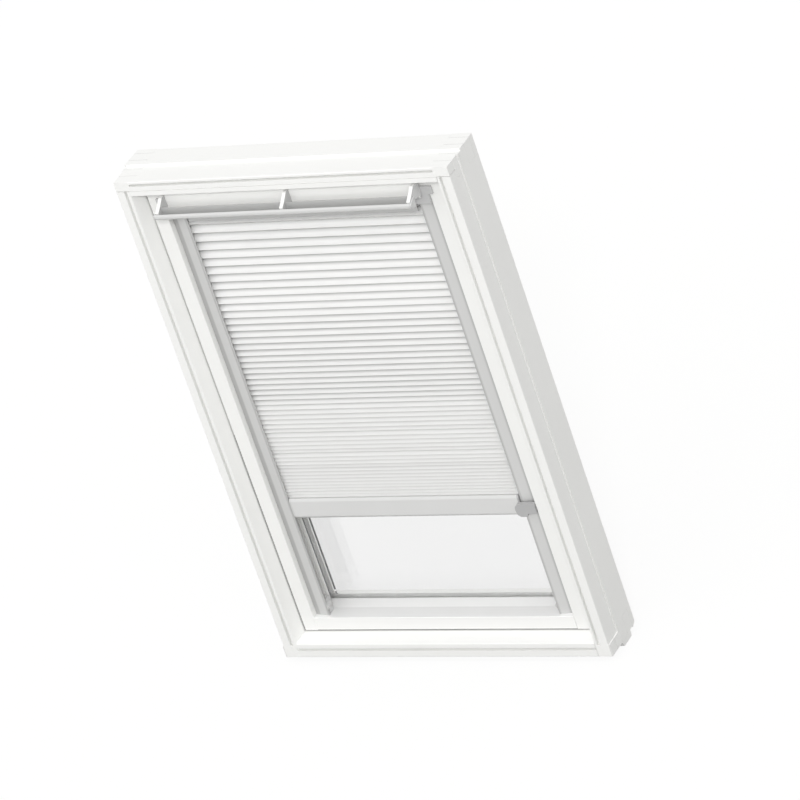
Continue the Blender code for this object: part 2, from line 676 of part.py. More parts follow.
def make_glazing():
    """Sealed double glazing with its spacer, the inner gasket and the outer caps."""
    x = HALF_WIDTH - GLASS_EDGE
    for name, (front, back) in (("inner_pane", INNER_PANE), ("outer_pane", OUTER_PANE)):
        block(name, -x, x, front, back, GLASS_EDGE, HEIGHT - GLASS_EDGE, "glass", "sash")
    ring("glass_spacer", *SPACER, INNER_PANE[1] + GAP, OUTER_PANE[0] - GAP, "aluminium", "sash")
    make_gasket()

    outer, inner = CAP_INSET
    for side, sign in SIDES:
        stile("glazing_cap_" + side, cap_section(outer), sign, outer, HEIGHT - outer, "aluminium", "sash")
    end_x = HALF_WIDTH - inner - GAP
    rail("glazing_cap_bottom", cap_section(outer), -1, -end_x, end_x, "aluminium", "sash")
    rail("glazing_cap_top", cap_section(TOP_CAP_EDGE), 1, -end_x, end_x, "aluminium", "sash")


def make_gasket():
    """The inner gasket runs up both sides and across the top; the glass stands free at the foot."""
    inset, width = GASKET
    outer, inner = HALF_WIDTH - inset, HALF_WIDTH - inset - width
    top, under = HEIGHT - inset, HEIGHT - inset - width
    outline = [(-outer, inset), (-inner, inset), (-inner, under), (inner, under), (inner, inset),
               (outer, inset), (outer, top), (-outer, top)]
    plate("glazing_gasket", [outline], GASKET_FRONT, INNER_PANE[0] - GAP, "seal_rubber", "sash")


def make_vent_flap():
    """Ventilation flap on its hinges; the control bar and its brackets are fixed to it."""
    depth, inset = FLAP_AXIS
    height = HEIGHT - inset
    radius, half_pin = FLAP_PIN
    notch_play, notch_top, notch_front = LUG_NOTCH
    half_notch = LUG_HALF_WIDTH + notch_play
    flap = rail("vent_flap", FLAP_SECTION, 1, -FLAP_HALF_WIDTH, FLAP_HALF_WIDTH, "white_lacquer", "vent_flap")
    for side, sign in SIDES:
        middle = sign * HINGE_AT
        hole = half_pin + GAP + 0.1
        cut(flap,
            block("lug_notch_" + side, middle - half_notch, middle + half_notch, notch_front, SASH_SIGHT,
                  HEIGHT - 2 * notch_top, HEIGHT - notch_top),
            spindle("flap_pin_hole_" + side, radius + GAP, middle - hole, middle + hole, depth, height,
                    sides=16))
        lug = rail("flap_hinge_" + side, LUG_SECTION, 1, middle - LUG_HALF_WIDTH, middle + LUG_HALF_WIDTH,
                   "steel", "sash")
        cut(lug, spindle("lug_bore_" + side, radius + GAP, middle - hole, middle + hole, depth, height,
                         sides=16))
        spindle("flap_pin_" + side, radius, middle - half_pin, middle + half_pin, depth, height,
                "steel", "vent_flap", sides=16)


def make_control_bar():
    """Aluminium grip profile, a rounded gutter open upwards, on three brackets, with its end caps."""
    rail("control_bar", [*BAR_SHELL, *BAR_GUTTER, BAR_LIP], 1, -FLAP_HALF_WIDTH, FLAP_HALF_WIDTH,
         "bar_aluminium", "vent_flap")
    for side, sign in SIDES:
        ends = sorted((sign * (FLAP_HALF_WIDTH + GAP), sign * (FLAP_HALF_WIDTH + BAR_CAP)))
        rail("control_bar_cap_" + side, [*BAR_SHELL, BAR_LIP], 1, *ends, "grey_plastic", "vent_flap")
    for name, middle in (("left", -BRACKET_AT), ("middle", 0.0), ("right", BRACKET_AT)):
        bracket = rail("bar_bracket_" + name, BRACKET_SECTION, 1, middle - BRACKET_HALF_WIDTH,
                       middle + BRACKET_HALF_WIDTH, "white_plastic", "vent_flap")
        ease(bracket, 0.8, angle=60)


def make_blind_head():
    """Head casing with the cloth clamp, between two end brackets that hook over the sash."""
    front, back = BLIND_DEPTH
    upper, lower = CASING_INSET
    casing = [(upper, front, 2.0), (upper, back, 2.0), (lower, back), (lower, back - WALL),
              (upper + WALL, back - WALL), (upper + WALL, front + WALL), (lower - 1, front + WALL),
              (lower + 0.4, front + 2.8), (CASING_LIP, front + 2.2), (CASING_LIP, front, 0.8)]
    rail("head_casing", casing, 1, -CASING_HALF_WIDTH, CASING_HALF_WIDTH, "aluminium", "sash")
    rail("cloth_clamp", CLAMP_SECTION, 1, -CLAMP_HALF_WIDTH, CLAMP_HALF_WIDTH, "white_plastic", "sash")

    outer, inner, foot = HEAD_BRACKET
    hook_front, hook_back = HOOK_DEPTH
    ear_edge, ear_foot = HOOK_EAR
    under_sash = SASH_SIGHT + GAP + 0.1
    hook = [(HOOK_INSET, hook_front, 2.0), (HOOK_INSET, hook_back), (under_sash, hook_back),
            (under_sash, back), (foot, back, 1.0), (foot, hook_front, 2.0)]
    for side, sign in SIDES:
        bracket = rail("head_bracket_" + side, hook, 1, *span(sign, outer, inner), "grey_plastic", "sash")
        ear = block("hook_ear_" + side, *span(sign, ear_edge, outer + 10), hook_front + RECESS,
                    hook_back - RECESS, HEIGHT - ear_foot, HEIGHT - HOOK_INSET - RECESS)
        cut(bracket, ear, operation="UNION")
        ease(bracket, 1.0, angle=60)


def channel_section():
    """Side channel: wall on the sash, slanted front with a returned lip, and a short back flange."""
    outer_front, lip_front = CHANNEL_FACE
    wall = CHANNEL_OUTER + WALL + GAP
    bend = CHANNEL_EDGE - 3.5
    lip = CHANNEL_EDGE - 1.8
    return [
        (CHANNEL_OUTER, outer_front), (bend, lip_front + 0.6), (CHANNEL_EDGE, lip_front, 1.2),
        (CHANNEL_EDGE, lip_front + 3.5), (lip, lip_front + 3.5), (lip, lip_front + 2.2),
        (wall, outer_front + WALL), (wall, CHANNEL_BACK - WALL), (BACK_FLANGE, CHANNEL_BACK - WALL),
        (BACK_FLANGE, CHANNEL_BACK), (CHANNEL_OUTER, CHANNEL_BACK),
    ]


def make_channels():
    """Side channels open towards the cloth, their end plugs, and the tensioned drive cords."""
    top = HEIGHT - CHANNEL_TOP
    front, back = RUNNER_DEPTH
    for side, sign in SIDES:
        stile("side_channel_" + side, channel_section(), sign, CHANNEL_FOOT, top, "channel_grey", "sash")
        foot = block("channel_foot_" + side, *span(sign, *PLUG_INSET), front, back, CHANNEL_FOOT, PLUG_TOP,
                     "channel_grey", "sash")
        cut(foot, *nib_pieces(side, sign), operation="UNION")
        cord_length = top - PLUG_TOP - 2 * GAP
        round_bar("tension_cord_" + side, CORD_RADIUS, "Z",
                  (sign * (HALF_WIDTH - CORD_INSET), CORD_DEPTH, (top + PLUG_TOP) / 2), cord_length,
                  "cord", "sash", sides=8)


def nib_pieces(side, sign):
    """The pointed stop: a root in the channel's mouth, and a nose past the channel's lip."""
    tip_inset, height = NIB_TIP
    root_rise, nose_rise = NIB_RISE
    tip = (sign * (HALF_WIDTH - tip_inset), height, 1.5)
    root_x = sign * (HALF_WIDTH - CHANNEL_EDGE + 4)
    nose_x = sign * (HALF_WIDTH - CHANNEL_EDGE - GAP)
    lip_back = CHANNEL_FACE[1] + 4
    root = plate("foot_root_" + side, [[(root_x, height - root_rise), tip, (root_x, height + root_rise)]],
                 lip_back, RUNNER_DEPTH[0] + 10)
    nose = plate("foot_nose_" + side, [[(nose_x, height - nose_rise), tip, (nose_x, height + nose_rise)]],
                 CHANNEL_FACE[1] + 0.4, RUNNER_DEPTH[0])
    return root, nose


def leaf_heights(top, bottom):
    """Heights of the folds: each leaf is a little lower than the one above, because it carries less cloth."""
    shrink = PITCH_RATIO ** (-1.0 / LEAVES)
    first = (top - bottom) * (1 - shrink) / (1 - shrink ** LEAVES)
    return [top - first * (1 - shrink ** fold) / (1 - shrink) for fold in range(LEAVES + 1)]


def make_cloth():
    """The pleated cloth in its photographed position, one row of vertices on each fold."""
    heights = leaf_heights(CLOTH_TOP, BAR_BOTTOM + BAR_HEIGHT + GAP + CLOTH_THICKNESS / 2)
    columns = 3
    form = bmesh.new()
    bmesh.ops.create_grid(form, x_segments=columns, y_segments=LEAVES, size=1.0)
    form.verts.ensure_lookup_table()
    rows = sorted(form.verts, key=lambda vertex: (-round(vertex.co.y, 6), vertex.co.x))
    for index, vertex in enumerate(rows):
        fold = index // (columns + 1)
        below = min(fold + 1, LEAVES)
        pitch = heights[below - 1] - heights[below]
        swing = math.sqrt(LEAF ** 2 - pitch ** 2) / 2
        depth = CLOTH_MIDDLE + (swing if fold % 2 == 0 else -swing)
        vertex.co = Vector((vertex.co.x * CLOTH_HALF_WIDTH, FRONT_Y + depth, SILL_Z + heights[fold])) * MM
    mesh = bpy.data.meshes.new("pleated_cloth")
    form.to_mesh(mesh)
    form.free()
    cloth = add_object("pleated_cloth", mesh, "cloth", "sash")
    skin = cloth.modifiers.new("cloth_thickness", "SOLIDIFY")
    skin.thickness = CLOTH_THICKNESS * MM
    skin.offset = 0.0


def bar_outline(shrink=0.0):
    """The bottom bar's outline in world (Y, Z), drawn in by a wall thickness."""
    front, back = BLIND_DEPTH[0] + shrink, BLIND_DEPTH[1] - shrink
    low, high = BAR_BOTTOM + shrink, BAR_BOTTOM + BAR_HEIGHT - shrink
    outline = rounded([(front + 3, high, 2.0), (front, high - 6, 4.0), (front, low + 7, 5.0),
                       (front + 6, low, 3.0), (back, low, 2.0), (back, high, 2.0)])
    return [(FRONT_Y + depth, SILL_Z + height) for depth, height in outline]


def make_bottom_bar():
    """Hollow bar with its left end plate, motor and runners."""
    body = "bottom_bar"
    half = BAR_HALF_WIDTH
    extrude("bottom_bar", [bar_outline(), bar_outline(BAR_WALL)], "X", -half, half, "aluminium", body)
    left_plate = extrude("bar_end_left", [bar_outline()], "X", -half - GAP - END_PLATE, -half - GAP,
                         "channel_grey", body)
    cut(left_plate, spindle("shaft_hole_left", SHAFT_HOLE, -half - 10, -half + 10, SHAFT_DEPTH, BAR_MIDDLE,
                            sides=16))
    motor = spindle("drive_motor", MOTOR_RADIUS, *MOTOR, SHAFT_DEPTH, BAR_MIDDLE, "steel", body, sides=24)
    cut(motor, spindle("motor_bore", SHAFT_HOLE - 0.2, 0, half, SHAFT_DEPTH, BAR_MIDDLE, sides=16))
    make_drive_housing(body)
    for side, sign in SIDES:
        make_runner(side, sign, body)


def make_drive_housing(body):
    """Cover at the bar's right end, rounded towards the middle, on the right end plate."""
    front, plate_back = COVER_FRONT, BLIND_DEPTH[0] - GAP
    outer, inner = COVER_INSET
    edge, nose = HALF_WIDTH - outer, HALF_WIDTH - inner
    low, step, high = COVER_HEIGHTS
    cover = [(edge, step, 2.0), (edge, high, 2.0), (nose + 9, high, 5.0), (nose + 1, high - 6.5, 6.0),
             (nose, high - 15, 12.0), (nose + 2.5, low + 5, 5.0), (nose + 9, low, 5.0), (nose + 24, low, 3.0),
             (nose + 27, step, 2.0)]
    housing = plate("drive_housing", [cover], front, plate_back, "grey_plastic", body)
    ease(housing, 1.5)
    left, right = BAR_HALF_WIDTH + GAP, BAR_HALF_WIDTH + GAP + END_PLATE
    end_plate = extrude("housing_plate", [bar_outline()], "X", left, right)
    neck = block("housing_neck", left, right, plate_back - 3, plate_back + 9, *NECK_HEIGHTS)
    cut(housing, end_plate, neck, operation="UNION")
    cut(housing, spindle("shaft_hole_right", SHAFT_HOLE, left - 10, right + 10, SHAFT_DEPTH, BAR_MIDDLE,
                         sides=16))


def make_runner(side, sign, body):
    """Runner in a side channel, bored for the drum and the tension cord."""
    outer, inner = RUNNER_INSET
    runner = block("runner_" + side, *span(sign, outer, inner), *RUNNER_DEPTH, BAR_BOTTOM + 3,
                   BAR_BOTTOM + BAR_HEIGHT - 3, "grey_plastic", body)
    bore = span(sign, outer + 2, inner + 10)
    cut(runner,
        spindle("drum_bore_" + side, DRUM_RADIUS + 0.4, *bore, SHAFT_DEPTH, BAR_MIDDLE),
        round_bar("cord_hole_" + side, CORD_RADIUS + 0.5, "Z",
                  (sign * (HALF_WIDTH - CORD_INSET), CORD_DEPTH, BAR_MIDDLE), 2 * BAR_HEIGHT, sides=12))


def drum_profile():
    """One side of a drum's closed profile as (place along the shaft, radius), with its cord grooves."""
    margin = 1.0
    pitch = (DRUM_LENGTH - 2 * margin) / DRUM_GROOVES
    floor = DRUM_RADIUS - DRUM_GROOVE_DEPTH
    profile = [(0.0, DRUM_RADIUS)]
    for groove in range(DRUM_GROOVES):
        start = margin + groove * pitch
        profile += [(start, DRUM_RADIUS), (start + 0.24 * pitch, floor), (start + 0.56 * pitch, floor),
                    (start + 0.8 * pitch, DRUM_RADIUS)]
    return [*profile, (DRUM_LENGTH, DRUM_RADIUS), (DRUM_LENGTH, DRUM_BORE), (0.0, DRUM_BORE)]


def make_drive_shaft():
    """Hexagonal shaft through the bar, with a grooved cord drum at each end."""
    body = "drive_shaft"
    end = HALF_WIDTH - SHAFT_INSET
    spindle("drive_shaft", SHAFT_RADIUS, -end, end, SHAFT_DEPTH, BAR_MIDDLE, "steel", body, sides=6)
    for side, sign in SIDES:
        middle = sign * (HALF_WIDTH - CORD_INSET - 1)
        turned("cord_drum_" + side, drum_profile(), middle - DRUM_LENGTH / 2, "grey_plastic", body)


def turned(name, profile, left, finish, body):
    """A closed ring profile turned round the drive shaft's axis by a Screw modifier."""
    form = bmesh.new()
    verts = [form.verts.new(Vector((x, 0.0, radius)) * MM) for x, radius in profile]
    for first, second in zip(verts, verts[1:] + verts[:1]):
        form.edges.new((first, second))
    mesh = bpy.data.meshes.new(name)
    form.to_mesh(mesh)
    form.free()
    obj = add_object(name, mesh, finish, body)
    obj.location = Vector((left, FRONT_Y + SHAFT_DEPTH, SILL_Z + BAR_MIDDLE)) * MM
    screw = obj.modifiers.new("turn", "SCREW")
    screw.axis = "X"
    screw.angle = 2 * math.pi
    screw.steps = 24
    screw.render_steps = 24
    screw.use_merge_vertices = True
    screw.merge_threshold = 0.00001
    screw.use_smooth_shade = True
    screw.use_normal_calculate = True
    screw.use_normal_flip = False
    return obj


def main():
    clear_scene()
    Workshop.parts = new_collection("skylight_window_blind")
    Workshop.cutters = new_collection("cutters")
    Workshop.carriers = {}
    add_carrier("sash", Vector((0, FRONT_Y + PIVOT_DEPTH, SILL_Z + PIVOT_HEIGHT)) * MM)
    add_carrier("vent_flap", Vector((0, FRONT_Y + FLAP_AXIS[0], SILL_Z + HEIGHT - FLAP_AXIS[1])) * MM, "sash")
    add_carrier("lock_bolt", Vector((0, FRONT_Y + BOLT_MIDDLE, SILL_Z + HEIGHT - BOLT_INSET[0])) * MM, "sash")
    add_carrier("bottom_bar", Vector((0, FRONT_Y + SHAFT_DEPTH, SILL_Z + BAR_MIDDLE)) * MM, "sash")
    add_carrier("drive_shaft", Vector((0, FRONT_Y + SHAFT_DEPTH, SILL_Z + BAR_MIDDLE)) * MM, "bottom_bar")
    make_frame()
    make_frame_seals()
    make_pivots()
    make_lock()
    make_sash()
    make_glazing()
    make_vent_flap()
    make_control_bar()
    make_blind_head()
    make_channels()
    make_cloth()
    make_bottom_bar()
    make_drive_shaft()
    bpy.context.view_layer.update()


main()
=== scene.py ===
"""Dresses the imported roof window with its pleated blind, and sets the studio that it is seen in."""
import math

import bmesh
import bpy
from bpy.props import FloatProperty, FloatVectorProperty, IntProperty, PointerProperty
from mathutils import Matrix, Vector


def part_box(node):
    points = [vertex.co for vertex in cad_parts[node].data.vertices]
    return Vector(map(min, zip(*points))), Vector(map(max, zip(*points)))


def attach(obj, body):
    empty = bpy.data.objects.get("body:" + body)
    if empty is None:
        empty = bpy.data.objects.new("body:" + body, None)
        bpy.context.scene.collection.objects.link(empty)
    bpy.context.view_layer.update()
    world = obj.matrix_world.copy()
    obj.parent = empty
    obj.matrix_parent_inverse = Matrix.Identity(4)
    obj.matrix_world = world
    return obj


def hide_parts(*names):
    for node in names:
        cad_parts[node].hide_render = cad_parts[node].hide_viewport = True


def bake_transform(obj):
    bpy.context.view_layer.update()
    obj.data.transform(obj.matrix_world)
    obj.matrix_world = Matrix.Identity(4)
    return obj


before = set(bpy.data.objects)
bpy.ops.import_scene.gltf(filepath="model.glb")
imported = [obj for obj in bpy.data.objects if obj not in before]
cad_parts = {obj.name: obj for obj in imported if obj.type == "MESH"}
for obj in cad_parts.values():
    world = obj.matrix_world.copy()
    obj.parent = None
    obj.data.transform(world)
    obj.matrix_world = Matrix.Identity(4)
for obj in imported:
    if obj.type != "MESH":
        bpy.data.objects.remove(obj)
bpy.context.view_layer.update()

bl_info = {
    "name": "Roof window with pleated blind",
    "version": (1, 0, 0),
    "blender": (4, 5, 0),
    "location": "3D View > Sidebar > Roof Window",
    "description": "Finishes, pleated cloth, cords, filters and studio for the packed roof window",
    "category": "Object",
}

MM = 0.001
PREFIX = "roof_window"

# The cloth's folds, repeated from the part's source, in millimetres
FRONT_Y = -45.5
SILL_Z = 12.0
CLOTH_TOP = 1075.0
CLOTH_BOTTOM = 375.75
CLOTH_MIDDLE = 52.0
LEAF = 19.0
LEAVES = 105
PITCH_RATIO = 2.95

# The frame, repeated likewise: its size, how far its comb joints reach, and their fingers' thickness
HALF_WIDTH = 390.0
HEIGHT = 1178.0
CORNER = 45.5
FINGER = 26.5

# The narrow step, painted with shade, lies beyond this half width. The groove, painted with shade inside,
# runs this far below the frame's top; its middle is this far behind the frame's front, and it reaches this
# far either way.
STEP_SIDE = 387.6
TOP_BEAD = 26.0
GROOVE_DEPTH = 1.1
GROOVE_REACH = 0.8

# Middle of each side channel's face, where painted shade on its rounded edges starts and ends on either
# side of that, and how far behind the frame's front the white painted light inside it starts
CHANNEL_MIDDLE = 288.5
EDGE_START = 7.5
EDGE_END = 12.5
INSIDE_PAINTED_LIGHT_DEPTH = 60.0

# The end gussets' outer faces lie beyond this half width. The grip's front lip starts this far before the
# frame, and turns pale over LIP_FADE as painted light.
GUSSET_OUTER = 295.5
LIP_DEPTH = 26.0
LIP_FADE = 2.0

# A face counts as square to an axis, or as turned towards it, where its normal has at least this much of it
SQUARE_ON = 0.9
HALF_TURNED = 0.5

# The narrow step's painted shade has this share of the joints' grey. Dark glue lines together with the
# painted shade of the step and groove, and the painted shade on the channels' edges, keep these shares of
# their brightness. This much of a coated profile's look is metal.
STEP_SHADE = 0.55
JOINT_AND_PAINTED_SHADE_GREY = 0.7
EDGE_PAINTED_SHADE = 0.76
COATED_METAL = 0.4

# White painted light inside the channels, and the white of the studio floor
INSIDE_PAINTED_LIGHT = "#F4F4F2"
FLOOR_WHITE = "#F4F4F2"

# Light comes into the folds down this slope, about 36 degrees. The cloth's painted shade grows between these
# two shares of the depth that is lit, and the more so between these two pitches.
LIGHT_SLOPE = 0.72
SHADE_START = 0.42
SHADE_END = 1.2
CLOSE_PITCH = 3.4
OPEN_PITCH = 6.4

# The scene's own pieces: the gap beside the cloth, the cuts across it, how far its folds may end from the
# end of the CAD cloth, the gap from the grey strips of painted reflection to the outer pane, the foam's soft
# edge, and the sides of a cord
CLOTH_GAP = 0.5
CLOTH_CUTS = 11
FOLD_SLIP = 1.0
SEALANT_GAP = 0.2
FOAM_EDGE = 1.2
CORD_SIDES = 20

# The camera as fitted to the photograph, and the ways to the lamp and to the brighter side of the studio
CAMERA_PLACE = (6.2549, -9.0041, 6.3659)
CAMERA_RIGHT = (0.8651, 0.408, -0.2918)
CAMERA_UP = (0.0229, 0.549, 0.8355)
CAMERA_LENS = 273.7
KEY_SIDE = (0.4275, -0.733, 0.529)
KEY_SPREAD = 8
BRIGHT_SIDE = (-0.17, -0.985, 0.0)


def linear(code):
    """The linear colour of an sRGB hex value."""
    parts = [int(code[i:i + 2], 16) / 255 for i in (1, 3, 5)]
    return [p / 12.92 if p <= 0.04045 else ((p + 0.055) / 1.055) ** 2.4 for p in parts]


def shade(colour, share):
    """A colour made darker by a share below one, or paler by one above it."""
    return [part * share for part in colour]


def add(tree, kind, inputs=None, **settings):
    """Adds one node with its settings and links.

    An input is a value, the socket that feeds it, or a node whose first output feeds it.
    """
    item = tree.nodes.new(kind)
    for name, value in settings.items():
        setattr(item, name, value)
    for key, value in (inputs or {}).items():
        source = value.outputs[0] if isinstance(value, bpy.types.Node) else value
        if isinstance(source, bpy.types.NodeSocket):
            tree.links.new(source, item.inputs[key])
        else:
            item.inputs[key].default_value = source
    return item


def empty_tree(owner):
    """The cleared node tree of a material or a world."""
    owner.use_nodes = True
    owner.node_tree.nodes.clear()
    return owner.node_tree


def new_material(name, colour, **sockets):
    """A named material with one Principled shader, whose even values stand on its own sockets."""
    old = bpy.data.materials.get(name)
    if old:
        bpy.data.materials.remove(old)
    material = bpy.data.materials.new(name)
    tree = empty_tree(material)
    values = {key.replace("_", " "): value for key, value in sockets.items()}
    values["Base Color"] = (*colour, 1.0)
    shader = add(tree, "ShaderNodeBsdfPrincipled", values)
    add(tree, "ShaderNodeOutputMaterial", {"Surface": shader})
    return material, tree, shader


def place(tree, scale=(1, 1, 1)):
    """Object coordinates, stretched by scale."""
    coords = add(tree, "ShaderNodeTexCoord").outputs["Object"]
    return add(tree, "ShaderNodeMapping", {"Vector": coords, "Scale": scale})


def axes(tree, kind="Object"):
    """X, Y and Z of the place on the object or, with kind Normal, of the way the face looks."""
    coords = add(tree, "ShaderNodeTexCoord").outputs[kind]
    return add(tree, "ShaderNodeSeparateXYZ", {0: coords}).outputs


def paint(tree, shader, colour, *layers):
    """Lays colours over the first one, each by its own factor, and feeds the shader with the result."""
    under = (*colour, 1.0)
    for factor, over in layers:
        mix = add(tree, "ShaderNodeMix", {0: factor, 6: under, 7: (*over, 1.0)}, data_type="RGBA")
        under = mix.outputs[2]
    tree.links.new(under, shader.inputs["Base Color"])


def surface(tree, shader, *bumps, gloss=None):
    """Lays bumps over each other, and lets the gloss wander.

    Each bump is a height and its real depth in metres. gloss is a pattern and the roughness at either end.
    """
    inputs = {}
    for height, depth in bumps:
        bump = add(tree, "ShaderNodeBump", {"Height": height, "Distance": depth, "Strength": 1.0, **inputs})
        inputs = {"Normal": bump}
    if bumps:
        tree.links.new(bump.outputs["Normal"], shader.inputs["Normal"])
    if gloss:
        pattern, low, high = gloss
        ranged = add(tree, "ShaderNodeMapRange", {"Value": pattern, "To Min": low, "To Max": high})
        tree.links.new(ranged.outputs["Result"], shader.inputs["Roughness"])


def comb_lines(tree, width):
    """One along the glue lines between the fingers on the frame's top and underside, nought elsewhere."""
    at = axes(tree)
    depth = add(tree, "ShaderNodeMath", {0: at["Y"], 1: FRONT_Y * MM}, operation="SUBTRACT")
    away = add(tree, "ShaderNodeMath", {0: depth, 1: FINGER / 2 * MM}, operation="PINGPONG")
    behind = add(tree, "ShaderNodeMath", {0: depth, 1: FINGER / 2 * MM}, operation="GREATER_THAN")
    across = add(tree, "ShaderNodeMath", {0: at["X"]}, operation="ABSOLUTE")
    inner = (HALF_WIDTH - CORNER) * MM
    near_side = add(tree, "ShaderNodeMath", {0: across, 1: inner}, operation="GREATER_THAN")
    middle = (SILL_Z + HEIGHT / 2) * MM
    reach = (HEIGHT / 2 - CORNER) * MM
    height = add(tree, "ShaderNodeMath", {0: at["Z"], 1: middle}, operation="SUBTRACT")
    height = add(tree, "ShaderNodeMath", {0: height}, operation="ABSOLUTE")
    near_end = add(tree, "ShaderNodeMath", {0: height, 1: reach}, operation="GREATER_THAN")
    level = add(tree, "ShaderNodeMath", {0: axes(tree, "Normal")["Z"]}, operation="ABSOLUTE")
    lines = add(tree, "ShaderNodeMath", {0: away, 1: width / 2}, operation="LESS_THAN")
    for factor in (behind, near_side, near_end, level):
        lines = add(tree, "ShaderNodeMath", {0: lines, 1: factor}, operation="MULTIPLY")
    return lines


def painted_shade_in_steps(tree):
    """Painted shade: how grey the lacquer is in the top member's fine groove and on the outer sides' narrow
    step.
    """
    at, facing = axes(tree), axes(tree, "Normal")
    across = add(tree, "ShaderNodeMath", {0: at["X"]}, operation="ABSOLUTE")
    step = add(tree, "ShaderNodeMath", {0: across, 1: STEP_SIDE * MM}, operation="GREATER_THAN")
    sideways = add(tree, "ShaderNodeMath", {0: facing["X"]}, operation="ABSOLUTE")
    forwards = add(tree, "ShaderNodeMath", {0: sideways, 1: SQUARE_ON}, operation="LESS_THAN")
    not_up = add(tree, "ShaderNodeMath", {0: facing["Z"], 1: HALF_TURNED}, operation="LESS_THAN")
    for factor in (forwards, not_up, STEP_SHADE):
        step = add(tree, "ShaderNodeMath", {0: step, 1: factor}, operation="MULTIPLY")
    height = (SILL_Z + HEIGHT - TOP_BEAD) * MM
    depth = (FRONT_Y + GROOVE_DEPTH) * MM
    reach = GROOVE_REACH * MM
    level = add(tree, "ShaderNodeMath", {0: at["Z"], 1: height, 2: reach}, operation="COMPARE")
    inside = add(tree, "ShaderNodeMath", {0: at["Y"], 1: depth, 2: reach}, operation="COMPARE")
    groove = add(tree, "ShaderNodeMath", {0: level, 1: inside}, operation="MULTIPLY")
    return add(tree, "ShaderNodeMath", {0: step, 1: groove}, operation="MAXIMUM")


def lacquered_pine(name, finish, along, jointed=False, ends=None, coat=0.0):
    """Pine under sprayed white lacquer: even satin white, a trace of grain, and a fine sprayed skin.

    On jointed members the glue lines of the comb joints show through at the corners, and the fine groove and
    the narrow step are greyed as painted shade. ends is a grey painted as shade on a level board's two ends.
    coat is a second, clear coat where water may stand; with it, the faces that look up are painted whiter as
    painted light.
    """
    colour = finish.lacquer
    material, tree, shader = new_material(name, colour, Roughness=0.38, IOR=1.5, Coat_Weight=coat,
                                          Coat_Roughness=0.25)
    # Grain lines are 3 mm apart across the board and 60 times as long
    across = [1 / (3 * MM)] * 3
    across["XYZ".index(along)] /= 60
    grain = add(tree, "ShaderNodeTexNoise", {"Vector": place(tree, across), "Scale": 1.0, "Detail": 3.0})
    # Sprayed skin has dimples of about 1.5 mm
    spot = place(tree)
    skin = add(tree, "ShaderNodeTexNoise", {"Vector": spot, "Scale": 1 / (1.5 * MM), "Detail": 1.0})
    # Its thickness drifts over about 180 mm, as the spray gun passes
    drift = add(tree, "ShaderNodeTexNoise", {"Vector": spot, "Scale": 1 / (180 * MM), "Detail": 2.0})
    layers = [(drift, shade(colour, 0.975))]
    if coat:
        # Painted light: faces that look up are painted whiter, as if more light falls on them
        painted_light_up = axes(tree, "Normal")["Z"]
        painted_light_up = add(tree, "ShaderNodeMath", {0: painted_light_up, 1: HALF_TURNED}, operation="GREATER_THAN")
        layers.append((painted_light_up, finish.bead))
    if jointed:
        # Dark glue lines, and painted shade in the groove and on the step
        joints_and_painted_shade = {0: comb_lines(tree, finish.joint_line), 1: painted_shade_in_steps(tree)}
        joints_and_painted_shade = add(tree, "ShaderNodeMath", joints_and_painted_shade, operation="MAXIMUM")
        layers.append((joints_and_painted_shade, shade(colour, JOINT_AND_PAINTED_SHADE_GREY)))
    if ends:
        # Painted shade: the board's end faces are painted grey
        sideways = add(tree, "ShaderNodeMath", {0: axes(tree, "Normal")["X"]}, operation="ABSOLUTE")
        at_end = add(tree, "ShaderNodeMath", {0: sideways, 1: SQUARE_ON}, operation="GREATER_THAN")
        layers.append((at_end, ends))
    paint(tree, shader, colour, *layers)
    surface(tree, shader, (grain, 0.00006), (skin, 0.00002), gloss=(drift, 0.32, 0.44))
    return material


def die_lines(tree, shader, along, roughness):
    """Faint lines that the die leaves along a profile, about 0.8 mm apart and 400 times as long."""
    across = [1 / (0.8 * MM)] * 3
    across["XYZ".index(along)] /= 400
    lines = add(tree, "ShaderNodeTexNoise", {"Vector": place(tree, across), "Scale": 1.0, "Detail": 2.0})
    surface(tree, shader, (lines, 0.000008), gloss=(lines, roughness - 0.05, roughness + 0.07))


def extruded_aluminium(name, colour, roughness):
    """Aluminium with a satin coat: pale, half matt and half metal, with faint die lines down its length."""
    material, tree, shader = new_material(name, colour, Metallic=COATED_METAL, Roughness=roughness)
    # The coat is uneven over about 90 mm
    cloud = add(tree, "ShaderNodeTexNoise", {"Vector": place(tree), "Scale": 1 / (90 * MM), "Detail": 2.0})
    paint(tree, shader, colour, (cloud, shade(colour, 0.95)))
    die_lines(tree, shader, "X", roughness)
    return material


def grip_aluminium_painted_light(name, colour, lip, roughness):
    """Anodised grip: painted shade makes it mid grey for its gutter, and painted light pales its front lip.
    """
    material, tree, shader = new_material(name, colour, Metallic=COATED_METAL, Roughness=roughness)
    start = FRONT_Y - LIP_DEPTH
    # Painted light: the front lip turns pale
    painted_light_on_lip = add(tree, "ShaderNodeMapRange", {
        "Value": axes(tree)["Y"], "From Min": start * MM, "From Max": (start - LIP_FADE) * MM})
    paint(tree, shader, colour, (painted_light_on_lip, lip))
    die_lines(tree, shader, "X", roughness)
    return material


